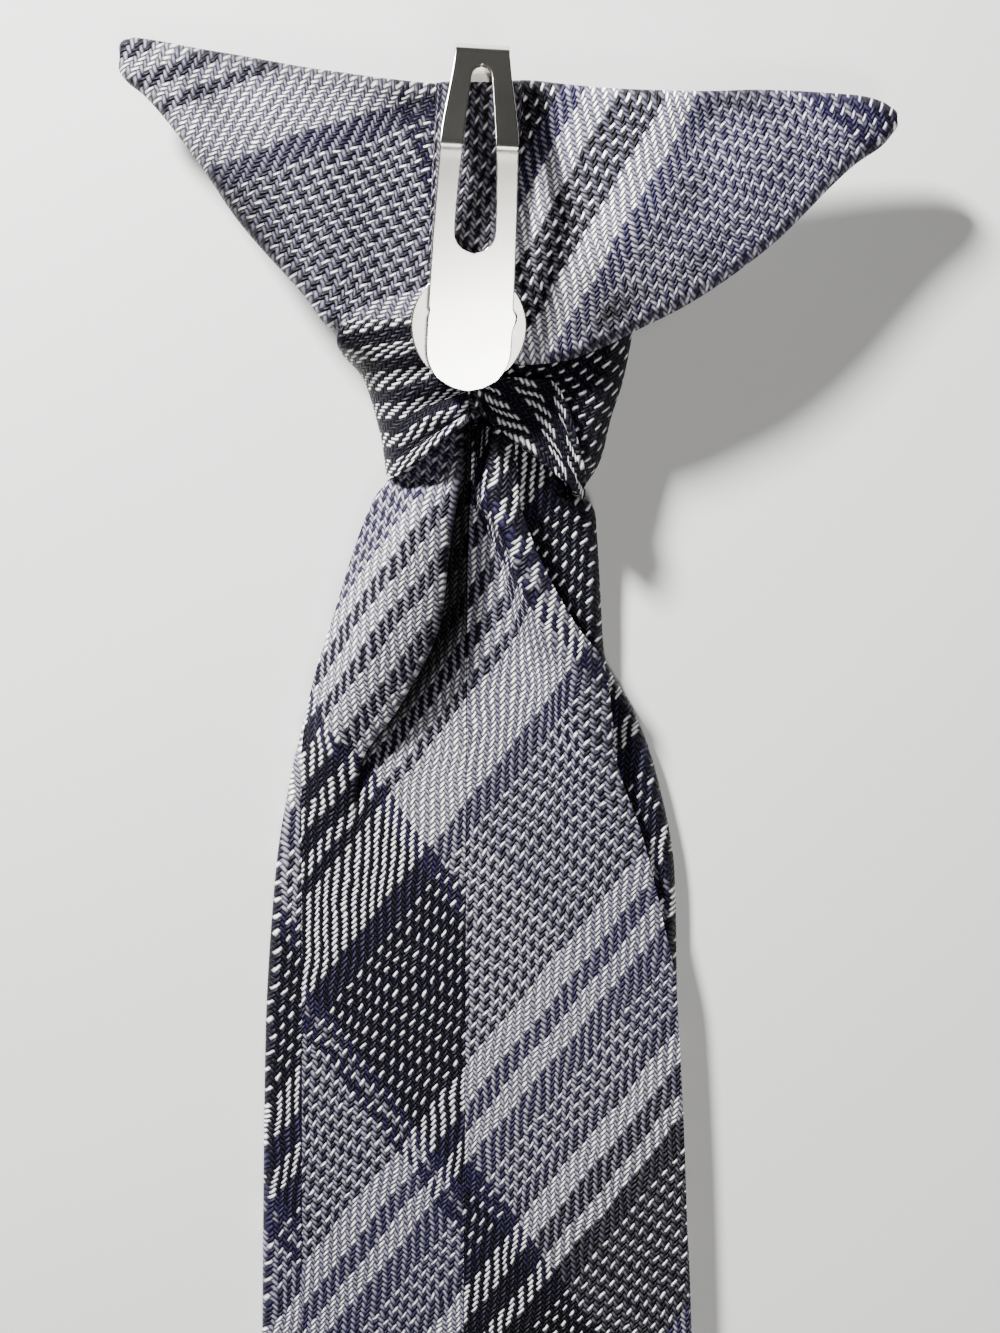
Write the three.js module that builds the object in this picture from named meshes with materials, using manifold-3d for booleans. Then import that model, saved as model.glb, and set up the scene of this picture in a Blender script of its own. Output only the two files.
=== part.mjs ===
// A clip on tie that lies on its front, seen from its back.
// Millimetres, +Z up. The origin is on the flat front of the knot, +Y runs up the tie to the
// clip's bend and +X to the right of someone who looks at the back.

import * as THREE from 'three';
import { mergeVertices } from 'three/addons/utils/BufferGeometryUtils.js';
import Module from 'manifold-3d';

// Cloth and fits
const clothWall = 1.1;
const fitGap = 0.3;

// Knot
const knotRise = 26.2;
const knotDrop = 18.0;
const knotTopWidth = 37.5;
const knotTopCentre = 0.75;
const waistWidth = 20.8;
const waistCentre = 0.4;
const waistSlant = 2.4;
const knotDepth = 8.6;
const knotCorner = 3.2;
const knotFrontCorner = 1.6;
const notchRise = 8.2;
const notchCentre = -1.5;

// Wings
const leftWingReach = 38.3;
const rightWingReach = 47.2;
const wingSplit = -2.1;
const wingHeight = 32.5;
const wingDepth = 3.4;
const wingPuff = 0.9;
const leftTipDroop = 2.6;
const rightTipDroop = 1.4;
const droopStart = 0.42;
const hollowEnd = 0.93;
const rootOverrun = 0.02;

// Wrap over the left of the knot's back
const wrapSideReach = 6.4;
const wrapStartRise = 1.2;
const wrapEdgeSink = 0.4;

// Clip, one folded strip
const stripWall = 0.8;
const armLength = 37.4;
const armBendWidth = 5.9;
const armEndWidth = 9.4;
const slotWidth = 4.4;
const slotTopWidth = 2.1;
const slotTopMargin = 2.5;
const slotEndMargin = 14.9;
const creaseFromBend = 11.2;
const creaseRise = 4.2;
const creaseRound = 0.7;
const armEndLift = 0.5;
const bendInnerRadius = 1.0;
const bendAboveKnot = 4.0;
const legWidth = 6.0;
const discDiameter = 12.8;
const discFromEnd = 7.1;
const clipCentre = -2.5;
const clipTurnDegrees = 2.4;

// Band over the clip's leg
const bandWidth = 9.6;
const bandEdgeLand = 0.3;

// Blade
const bladeWidth = 53;
const bladeLength = 198;
const pointLength = 27;
const pointEndWidth = 4.0;
const neckInsert = 6.0;
const foldDepth = 2.6;
const lipGap = 0.5;
const neckFoldDepth = 4.0;
const lobeHeight = 5.4;
const panelInset = 4.2;
const seamCentre = -2.1;
const seamNeckShift = 0.4;
const seamShiftFrom = 1.6;
const seamShiftTo = 0.8;
const leastStrip = 0.5;
const leastStep = 0.05;

// Numbers of steps in the meshes
const steps = {
  knotAround: 32,
  knotDown: 9,
  wingAround: 24,
  wingOuter: 14,
  wingHollow: 10,
  leftWrapAcross: 15,
  leftWrapDown: 10,
  rightWrapAcross: 7,
  rightWrapDown: 10,
  bandAcross: 12,
  bandDown: 5,
  bend: 10,
  slotArc: 10,
  disc: 36,
  bladeAcross: 18,
  bladeDown: 34,
  leftPanelAcross: 14,
  rightPanelAcross: 12,
  panelDown: 28,
};

// Levels worked out from the stack of layers
const half = 0.5;
const bendTop = knotRise + bendAboveKnot;
const backLevel = knotDepth + fitGap + clothWall * half;
const wingTop = knotDepth + fitGap + wingDepth;
const legLow = wingTop + fitGap;
const legTop = legLow + stripWall;
const panelLevel = foldDepth + fitGap + clothWall * half;
const waistLeft = waistCentre - waistWidth * half;
const waistRight = waistCentre + waistWidth * half;
const topLeft = knotTopCentre - knotTopWidth * half;
const topRight = knotTopCentre + knotTopWidth * half;

// Outline of the knot from its top edge (0) to its waist (1). Flare is 1 at the top's width, 0 at the waist's
const knotRows = [
  { at: 0.00, flareLeft: 1.00, flareRight: 1.00 },
  { at: 0.32, flareLeft: 0.80, flareRight: 0.88 },
  { at: 0.62, flareLeft: 0.57, flareRight: 0.62 },
  { at: 0.70, flareLeft: 0.33, flareRight: 0.54 },
  { at: 0.79, flareLeft: 0.18, flareRight: 0.39 },
  { at: 0.90, flareLeft: 0.05, flareRight: 0.26 },
  { at: 1.00, flareLeft: 0.00, flareRight: 0.00 },
];

// Wing edges from the root (0) to the tip (1), as shares of the wing's height above the origin
const leftWingRows = [
  { out: 0.00, top: 0.810, low: -0.020, depth: 1.00, puff: 0.0 },
  { out: 0.25, top: 0.830, low: -0.020, depth: 1.00, puff: 0.1 },
  { out: 0.39, top: 0.850, low: -0.014, depth: 1.00, puff: 0.9 },
  { out: 0.46, top: 0.860, low: 0.085, depth: 1.00, puff: 1.0 },
  { out: 0.65, top: 0.900, low: 0.335, depth: 1.00, puff: 1.0 },
  { out: 0.77, top: 0.925, low: 0.540, depth: 0.95, puff: 0.8 },
  { out: 0.93, top: 0.960, low: 0.770, depth: 0.85, puff: 0.3 },
  { out: 0.98, top: 0.966, low: 0.815, depth: 0.80, puff: 0.1 },
  { out: 1.00, top: 0.945, low: 0.850, depth: 0.70, puff: 0.0 },
];
const rightWingRows = [
  { out: 0.00, top: 0.815, low: -0.110, depth: 1.00, puff: 0.0 },
  { out: 0.12, top: 0.830, low: -0.130, depth: 1.00, puff: 0.1 },
  { out: 0.20, top: 0.820, low: -0.120, depth: 1.00, puff: 0.4 },
  { out: 0.30, top: 0.808, low: -0.070, depth: 1.00, puff: 0.8 },
  { out: 0.38, top: 0.804, low: -0.012, depth: 1.00, puff: 1.0 },
  { out: 0.50, top: 0.802, low: 0.077, depth: 1.00, puff: 1.0 },
  { out: 0.69, top: 0.812, low: 0.271, depth: 0.95, puff: 0.9 },
  { out: 0.90, top: 0.802, low: 0.563, depth: 0.90, puff: 0.5 },
  { out: 0.97, top: 0.780, low: 0.634, depth: 0.85, puff: 0.2 },
  { out: 1.00, top: 0.750, low: 0.690, depth: 0.75, puff: 0.0 },
];

// Route of the right wrap from under the disc (0) to the waist (1), as shares of the waist's width and drop
const wrapRows = [
  { at: 0.00, upperX: -0.03, upperY: 0.31, lowerX: -0.02, lowerY: 0.55 },
  { at: 0.35, upperX: 0.31, upperY: 0.32, lowerX: 0.16, lowerY: 0.73 },
  { at: 0.60, upperX: 0.41, upperY: 0.46, lowerX: 0.33, lowerY: 0.88 },
  { at: 0.85, upperX: 0.48, upperY: 0.74, lowerX: 0.45, lowerY: 0.99 },
  { at: 1.00, upperX: 0.51, upperY: 0.92, lowerX: 0.51, lowerY: 1.06 },
];

// Half outlines of the blade as shares of half its width, from the origin (0) to the tip (1)
const bladeRows = [
  { at: 0.060, left: 0.300, right: 0.340, lift: 1.0, rightDepth: 1.00, leftLip: 0.11, rightLip: 0.22 },
  { at: 0.086, left: 0.304, right: 0.342, lift: 1.0, rightDepth: 1.00, leftLip: 0.11, rightLip: 0.22 },
  { at: 0.093, left: 0.410, right: 0.345, lift: 1.0, rightDepth: 1.00, leftLip: 0.12, rightLip: 0.22 },
  { at: 0.099, left: 0.465, right: 0.350, lift: 0.9, rightDepth: 1.00, leftLip: 0.13, rightLip: 0.22 },
  { at: 0.107, left: 0.500, right: 0.470, lift: 0.6, rightDepth: 1.00, leftLip: 0.14, rightLip: 0.28 },
  { at: 0.120, left: 0.545, right: 0.490, lift: 0.3, rightDepth: 1.00, leftLip: 0.15, rightLip: 0.28 },
  { at: 0.155, left: 0.625, right: 0.510, lift: 0.0, rightDepth: 0.85, leftLip: 0.18, rightLip: 0.20 },
  { at: 0.190, left: 0.700, right: 0.530, lift: 0.0, rightDepth: 0.45, leftLip: 0.20, rightLip: 0.08 },
  { at: 0.222, left: 0.775, right: 0.660, lift: 0.0, rightDepth: 0.25, leftLip: 0.20, rightLip: 0.12 },
  { at: 0.262, left: 0.848, right: 0.770, lift: 0.0, rightDepth: 0.05, leftLip: 0.20, rightLip: 0.18 },
  { at: 0.320, left: 0.916, right: 0.855, lift: 0.0, rightDepth: 0.00, leftLip: 0.20, rightLip: 0.20 },
  { at: 0.420, left: 0.962, right: 0.878, lift: 0.0, rightDepth: 0.00, leftLip: 0.20, rightLip: 0.20 },
  { at: 0.600, left: 0.980, right: 0.958, lift: 0.0, rightDepth: 0.00, leftLip: 0.20, rightLip: 0.20 },
  { at: 0.860, left: 1.000, right: 1.000, lift: 0.0, rightDepth: 0.00, leftLip: 0.20, rightLip: 0.20 },
];

// Left panel, from the fold edge over the top and lip of the left pleat to its foot in the valley. Places are
// shares of half the blade's width, and columns with Up are shares of the lobe height above the flat panel
const leftPanelRows = [
  { at: 0.052, edge: -0.29, top: -0.205, lip: -0.122, foot: -0.104, edgeUp: 0.27, topUp: 0.54, lipUp: 0.42 },
  { at: 0.068, edge: -0.291, top: -0.215, lip: -0.122, foot: -0.103, edgeUp: 0.27, topUp: 0.56, lipUp: 0.5 },
  { at: 0.086, edge: -0.294, top: -0.24, lip: -0.132, foot: -0.106, edgeUp: 0.27, topUp: 0.6, lipUp: 0.62 },
  { at: 0.097, edge: -0.435, top: -0.27, lip: -0.148, foot: -0.115, edgeUp: 0.27, topUp: 0.84, lipUp: 0.74 },
  { at: 0.12, edge: -0.53, top: -0.33, lip: -0.178, foot: -0.135, edgeUp: 0.1, topUp: 1, lipUp: 0.82 },
  { at: 0.165, edge: -0.64, top: -0.43, lip: -0.215, foot: -0.15, edgeUp: 0, topUp: 0.9, lipUp: 0.7 },
  { at: 0.214, edge: -0.75, top: -0.56, lip: -0.38, foot: -0.32, edgeUp: 0, topUp: 0.55, lipUp: 0.42 },
  { at: 0.252, edge: -0.79, top: -0.68, lip: -0.56, foot: -0.5, edgeUp: 0, topUp: 0.22, lipUp: 0.16 },
  { at: 0.3, edge: -0.796, top: -0.71, lip: -0.6, foot: -0.52, edgeUp: 0, topUp: 0.03, lipUp: 0.02 },
  { at: 0.4, edge: -0.798, top: -0.71, lip: -0.6, foot: -0.5, edgeUp: 0, topUp: 0, lipUp: 0 },
  { at: 0.86, edge: -0.8, top: -0.71, lip: -0.6, foot: -0.5, edgeUp: 0, topUp: 0, lipUp: 0 },
];

// Right panel, from the seam over the right pleat to its free edge
const rightPanelRows = [
  { at: 0.056, foot: -0.02, crest: 0.04, edge: 0.11, crestUp: 0.57, edgeUp: 0.52 },
  { at: 0.08, foot: -0.035, crest: 0.025, edge: 0.12, crestUp: 0.7, edgeUp: 0.62 },
  { at: 0.098, foot: -0.045, crest: 0.03, edge: 0.13, crestUp: 0.84, edgeUp: 0.72 },
  { at: 0.117, foot: 0.02, crest: 0.095, edge: 0.17, crestUp: 0.9, edgeUp: 0.76 },
  { at: 0.146, foot: 0.09, crest: 0.18, edge: 0.27, crestUp: 0.88, edgeUp: 0.74 },
  { at: 0.174, foot: 0.14, crest: 0.28, edge: 0.4, crestUp: 0.78, edgeUp: 0.62 },
  { at: 0.191, foot: 0.175, crest: 0.37, edge: 0.5, crestUp: 0.66, edgeUp: 0.48 },
  { at: 0.225, foot: 0.25, crest: 0.43, edge: 0.545, crestUp: 0.46, edgeUp: 0.32 },
  { at: 0.251, foot: 0.33, crest: 0.47, edge: 0.57, crestUp: 0.3, edgeUp: 0.18 },
  { at: 0.295, foot: 0.43, crest: 0.59, edge: 0.69, crestUp: 0.12, edgeUp: 0.04 },
  { at: 0.345, foot: 0.5, crest: 0.68, edge: 0.79, crestUp: 0.02, edgeUp: 0 },
  { at: 0.385, foot: 0.5, crest: 0.7, edge: 0.855, crestUp: 0, edgeUp: 0 },
  { at: 0.6, foot: 0.5, crest: 0.73, edge: 0.935, crestUp: 0, edgeUp: 0 },
  { at: 0.86, foot: 0.5, crest: 0.76, edge: 0.975, crestUp: 0, edgeUp: 0 },
];

const lerp = THREE.MathUtils.lerp;
const clamp = THREE.MathUtils.clamp;

// A smooth curve through the points of two lists, without overshoot between them
function smoothThrough(places, values, place) {
  const last = places.length - 1;
  if (place <= places[0]) return values[0];
  if (place >= places[last]) return values[last];
  let i = 0;
  while (places[i + 1] < place) i += 1;
  const slopeOf = (k) => (values[k + 1] - values[k]) / (places[k + 1] - places[k]);
  const tangent = (k) => {
    if (k === 0 || k === last) return 0;
    const before = slopeOf(k - 1);
    const after = slopeOf(k);
    return before * after <= 0 ? 0 : (2 * before * after) / (before + after);
  };
  const step = places[i + 1] - places[i];
  const t = (place - places[i]) / step;
  const t2 = t * t;
  const t3 = t2 * t;
  return (2 * t3 - 3 * t2 + 1) * values[i]
    + (t3 - 2 * t2 + t) * step * tangent(i)
    + (3 * t2 - 2 * t3) * values[i + 1]
    + (t3 - t2) * step * tangent(i + 1);
}

function column(rows, key, value, name) {
  return smoothThrough(rows.map((row) => row[key]), rows.map((row) => row[name]), value);
}

// A sheet of cloth: point(u, v) gives its middle surface, and the wall is laid half on each side.
// A ring closes on itself along u
function clothSheet(acrossSteps, alongSteps, wall, point, ring = false) {
  const across = ring ? acrossSteps : acrossSteps + 1;
  const along = alongSteps + 1;
  const grid = [];
  for (let j = 0; j < along; j += 1) {
    for (let i = 0; i < across; i += 1) grid.push(point(i / acrossSteps, j / alongSteps));
  }
  const at = (i, j) => grid[j * across + (ring ? (i + across) % across : clamp(i, 0, across - 1))];
  const positions = [];
  for (const side of [1, -1]) {
    for (let j = 0; j < along; j += 1) {
      for (let i = 0; i < across; i += 1) {
        const alongU = new THREE.Vector3().subVectors(at(i + 1, j), at(i - 1, j));
        const below = at(i, Math.min(j + 1, alongSteps));
        const alongV = new THREE.Vector3().subVectors(below, at(i, Math.max(j - 1, 0)));
        const normal = alongU.cross(alongV).normalize();
        const place = at(i, j).clone().addScaledVector(normal, side * wall * half);
        positions.push(place.x, place.y, place.z);
      }
    }
  }
  const indices = [];
  const layer = along * across;
  const index = (i, j, side) => side * layer + j * across + (i % across);
  const quad = (a, b, c, d) => indices.push(a, b, c, a, c, d);
  for (let j = 0; j < alongSteps; j += 1) {
    for (let i = 0; i < acrossSteps; i += 1) {
      quad(index(i, j, 0), index(i + 1, j, 0), index(i + 1, j + 1, 0), index(i, j + 1, 0));
      quad(index(i, j, 1), index(i, j + 1, 1), index(i + 1, j + 1, 1), index(i + 1, j, 1));
    }
  }
  for (let i = 0; i < acrossSteps; i += 1) {
    quad(index(i, 0, 0), index(i, 0, 1), index(i + 1, 0, 1), index(i + 1, 0, 0));
    const last = [index(i, alongSteps, 0), index(i + 1, alongSteps, 0)];
    quad(...last, index(i + 1, alongSteps, 1), index(i, alongSteps, 1));
  }
  if (!ring) {
    for (let j = 0; j < alongSteps; j += 1) {
      quad(index(0, j, 0), index(0, j + 1, 0), index(0, j + 1, 1), index(0, j, 1));
      const right = [index(acrossSteps, j, 0), index(acrossSteps, j, 1)];
      quad(...right, index(acrossSteps, j + 1, 1), index(acrossSteps, j + 1, 0));
    }
  }
  const geometry = new THREE.BufferGeometry();
  geometry.setAttribute('position', new THREE.Float32BufferAttribute(positions, 3));
  geometry.setIndex(indices);
  return geometry;
}

const weldDistance = 1e-4;
const wasm = await Module();
wasm.setup();

function solidOf(geometry) {
  const bare = geometry.clone();
  bare.deleteAttribute('normal');
  bare.deleteAttribute('uv');
  const merged = mergeVertices(bare, weldDistance);
  const vertProperties = new Float32Array(merged.attributes.position.array);
  const triVerts = new Uint32Array(merged.index.array);
  return new wasm.Manifold(new wasm.Mesh({ numProp: 3, vertProperties, triVerts }));
}

function geometryOf(solid) {
  const mesh = solid.getMesh();
  const geometry = new THREE.BufferGeometry();
  geometry.setAttribute('position', new THREE.Float32BufferAttribute(mesh.vertProperties, 3));
  geometry.setIndex(new THREE.Uint32BufferAttribute(mesh.triVerts, 1));
  return geometry;
}

// Knot sleeve

const knotLength = knotRise + knotDrop;

// The sides of the knot at a height up the tie
function knotSides(y) {
  const at = clamp((knotRise - y) / knotLength, 0, 1);
  return {
    left: lerp(waistLeft, topLeft, column(knotRows, 'at', at, 'flareLeft')),
    right: lerp(waistRight, topRight, column(knotRows, 'at', at, 'flareRight')),
  };
}

// The lower rim slants, and at the back it rises to the notch that the pleats come out of
function waistRim(x) {
  return -knotDrop - waistSlant * (x - waistCentre) / waistWidth;
}

function notchRim(x) {
  const side = x < notchCentre ? notchCentre - waistLeft : waistRight - notchCentre;
  return waistRim(x) + notchRise * clamp(1 - Math.abs(x - notchCentre) / side, 0, 1);
}

// A closed section with round corners. Half of each quarter is straight and half is the corner's arc
function roundSection(share, left, right, low, high, cornerLow, cornerHigh) {
  const quarter = Math.floor(share * 4) % 4;
  const t = (share * 4) % 1;
  const middle = (left + right) * half;
  const span = (right - left) * half;
  const signX = quarter < 2 ? 1 : -1;
  const onTop = quarter === 0 || quarter === 3;
  const signZ = onTop ? 1 : -1;
  const corner = onTop ? cornerHigh : cornerLow;
  const fromMiddle = (quarter % 2 === 0 ? t : 1 - t) * 2;
  const turn = Math.max(fromMiddle - 1, 0) * Math.PI * half;
  const x = (span - corner) * Math.min(fromMiddle, 1) + corner * Math.sin(turn);
  const sink = corner * (1 - Math.cos(turn));
  return { x: middle + signX * x, z: (onTop ? high : low) - signZ * sink };
}

function knotSleeve() {
  const inset = clothWall * half;
  const rimTurnsFrom = knotDepth * 0.55;
  const rimTurnsTo = knotDepth * 0.85;
  return clothSheet(steps.knotAround, steps.knotDown, clothWall, (u, v) => {
    const first = lerp(knotRise - fitGap, -knotDrop, v);
    const sides = knotSides(first);
    const left = sides.left + inset;
    const right = sides.right - inset;
    const place = roundSection(u, left, right, inset, knotDepth - inset, knotFrontCorner, knotCorner - inset);
    const onBack = THREE.MathUtils.smoothstep(place.z, rimTurnsFrom, rimTurnsTo);
    const rim = lerp(waistRim(place.x), notchRim(place.x) + fitGap, onBack);
    const y = lerp(knotRise - fitGap, rim, v);
    return new THREE.Vector3(place.x, y, place.z);
  }, true);
}

// Wings

// A closed body through a list of rings of equal length, with flat ends
function loft(rings) {
  const count = rings[0].length;
  const positions = [];
  const indices = [];
  rings.forEach((ring) => ring.forEach((place) => positions.push(place.x, place.y, place.z)));
  for (let j = 0; j + 1 < rings.length; j += 1) {
    for (let i = 0; i < count; i += 1) {
      const a = j * count + i;
      const b = j * count + (i + 1) % count;
      indices.push(a, b, b + count, a, b + count, a + count);
    }
  }
  for (const [row, flip] of [[0, true], [rings.length - 1, false]]) {
    const centre = new THREE.Vector3();
    rings[row].forEach((place) => centre.add(place));
    centre.divideScalar(count);
    const hub = positions.length / 3;
    positions.push(centre.x, centre.y, centre.z);
    for (let i = 0; i < count; i += 1) {
      const a = row * count + i;
      const b = row * count + (i + 1) % count;
      indices.push(...(flip ? [b, a, hub] : [a, b, hub]));
    }
  }
  const geometry = new THREE.BufferGeometry();
  geometry.setAttribute('position', new THREE.Float32BufferAttribute(positions, 3));
  geometry.setIndex(indices);
  return geometry;
}

// The body of a wing inside its outer face by an inset, from one share of its reach to another
function wingBody(rows, root, reach, direction, droop, inset, from, to, ringCount) {
  const edgeRoundness = 0.98;
  const rings = [];
  for (let j = 0; j <= ringCount; j += 1) {
    const out = lerp(from, to, j / ringCount);
    const top = column(rows, 'out', out, 'top') * wingHeight - inset;
    const low = column(rows, 'out', out, 'low') * wingHeight + inset;
    const depth = column(rows, 'out', out, 'depth') * wingDepth - 2 * inset;
    const puff = column(rows, 'out', out, 'puff') * wingPuff;
    const radius = Math.min(depth, top - low) * half * edgeRoundness;
    const drop = droop * THREE.MathUtils.smoothstep(out, droopStart, 1);
    const middle = (top + low) * half;
    const span = (top - low) * half;
    const ring = [];
    for (let i = 0; i < steps.wingAround; i += 1) {
      const place = roundSection(i / steps.wingAround, low, top, 0, depth, radius, radius);
      const crown = clamp(1 - ((place.x - middle) / span) ** 2, 0, 1);
      const onTop = clamp(place.z / depth, 0, 1);
      const z = knotDepth + fitGap + inset + place.z + puff * crown * onTop - drop;
      ring.push(new THREE.Vector3(root + direction * reach * out, place.x, z));
    }
    if (direction > 0) ring.reverse();
    rings.push(ring);
  }
  return solidOf(loft(rings));
}

// A folded wing: a flat pocket of cloth, open at its root and closed at its tip
function wingPocket(rows, root, reach, direction, droop) {
  const body = (...extent) => wingBody(rows, root, reach, direction, droop, ...extent);
  const outer = body(0, 0, 1, steps.wingOuter);
  const hollow = body(clothWall, -rootOverrun, hollowEnd, steps.wingHollow);
  return outer.subtract(hollow);
}

// The left wing's upper cloth runs on as a wrap over the left of the knot
function leftWrap() {
  const sideShare = 0.2;
  const cornerShare = 0.45;
  const climbFrom = 0.02;
  const climbTo = 0.42;
  const sideFrom = 0.06;
  const sideTo = 0.35;
  const flatTo = 0.22;
  const start = wrapStartRise;
  const wingLevel = wingTop - clothWall * half;
  const offset = fitGap + clothWall * half;
  return clothSheet(steps.leftWrapAcross, steps.leftWrapDown, clothWall, (u, v) => {
    const nominal = lerp(start, waistRim(waistLeft), v);
    const sides = knotSides(nominal);
    const corner = knotCorner + offset;
    const left = sides.left - offset;
    const right = wingSplit - fitGap;
    const climb = 1 - THREE.MathUtils.smoothstep(v, climbFrom, climbTo);
    const level = lerp(backLevel, wingLevel, climb);
    const reach = wrapSideReach * THREE.MathUtils.smoothstep(v, sideFrom, sideTo);
    let x = left;
    let z = level - corner;
    if (u < sideShare) {
      z = level - corner - Math.max(reach - corner, 0) * (1 - u / sideShare);
    } else if (u < cornerShare) {
      const turn = (u - sideShare) / (cornerShare - sideShare) * Math.PI * half;
      x = left + corner * (1 - Math.cos(turn));
      z = level - corner + corner * Math.sin(turn);
    } else {
      x = lerp(left + corner, right, (u - cornerShare) / (1 - cornerShare));
      z = level;
    }
    const flat = 1 - THREE.MathUtils.smoothstep(v, 0, flatTo);
    z = lerp(z, Math.max(z, level - wrapEdgeSink), flat);
    const y = lerp(start, notchRim(x), v);
    return new THREE.Vector3(x, y, z);
  });
}

function leftWing() {
  const pocket = wingPocket(leftWingRows, wingSplit - fitGap, leftWingReach, -1, leftTipDroop);
  return geometryOf(pocket.add(solidOf(leftWrap())));
}

function rightWing() {
  return geometryOf(wingPocket(rightWingRows, wingSplit + fitGap, rightWingReach, 1, rightTipDroop));
}

function rightWrap() {
  const offset = fitGap + clothWall * half;
  return clothSheet(steps.rightWrapAcross, steps.rightWrapDown, clothWall, (u, v) => {
    const upper = [column(wrapRows, 'at', v, 'upperX'), column(wrapRows, 'at', v, 'upperY')];
    const lower = [column(wrapRows, 'at', v, 'lowerX'), column(wrapRows, 'at', v, 'lowerY')];
    const x = lerp(lower[0], upper[0], u) * waistWidth;
    const y = -lerp(lower[1], upper[1], u) * knotDrop;
    const side = knotSides(y).right;
    const corner = knotCorner + offset;
    const past = clamp((x - (side - knotCorner)) / corner, 0, 1);
    const z = backLevel - corner * (1 - Math.sqrt(1 - past * past));
    return new THREE.Vector3(x, y, z);
  });
}

// Band over the clip's leg

function centreBand() {
  const middleLevel = legTop + fitGap + clothWall * half;
  const landLevel = wingTop + fitGap + clothWall * half;
  const top = knotRise;
  const bottom = discFromEnd - armLength + bendTop + discDiameter * half + fitGap;
  const landFrom = legWidth * half + fitGap;
  const landTo = bandWidth * half - bandEdgeLand;
  return clothSheet(steps.bandAcross, steps.bandDown, clothWall, (u, v) => {
    const across = (u - half) * bandWidth;
    const y = lerp(top, bottom, v);
    const land = THREE.MathUtils.smoothstep(Math.abs(across), landFrom, landTo);
    return new THREE.Vector3(clipAxis(y) + across, y, lerp(middleLevel, landLevel, land));
  });
}

// Clip

function clipAxis(y) {
  return clipCentre + Math.tan(THREE.MathUtils.degToRad(clipTurnDegrees)) * y;
}

// The strip seen from the side, as a closed outline of along (up the tie) and height
function stripProfile(path) {
  const outer = [];
  const inner = [];
  path.forEach((place, i) => {
    const before = path[Math.max(i - 1, 0)];
    const after = path[Math.min(i + 1, path.length - 1)];
    const run = new THREE.Vector2().subVectors(after, before).normalize();
    const normal = new THREE.Vector2(-run.y, run.x).multiplyScalar(stripWall * half);
    outer.push(place.clone().add(normal));
    inner.push(place.clone().sub(normal));
  });
  return new THREE.Shape([...outer, ...inner.reverse()]);
}

// An outline in the tie's plane, pushed through the whole height
function planPrism(shape, low, high) {
  const options = { depth: high - low, bevelEnabled: false, curveSegments: steps.slotArc };
  const geometry = new THREE.ExtrudeGeometry(shape, options);
  geometry.translate(0, 0, low);
  return solidOf(geometry);
}

function sideSlab(path) {
  const width = discDiameter * 1.3;
  const geometry = new THREE.ExtrudeGeometry(stripProfile(path), { depth: width, bevelEnabled: false });
  const profileToTie = new THREE.Matrix4().set(0, 0, 1, -width * half, 1, 0, 0, 0, 0, 1, 0, 0, 0, 0, 0, 1);
  geometry.applyMatrix4(profileToTie);
  return solidOf(geometry);
}

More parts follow.
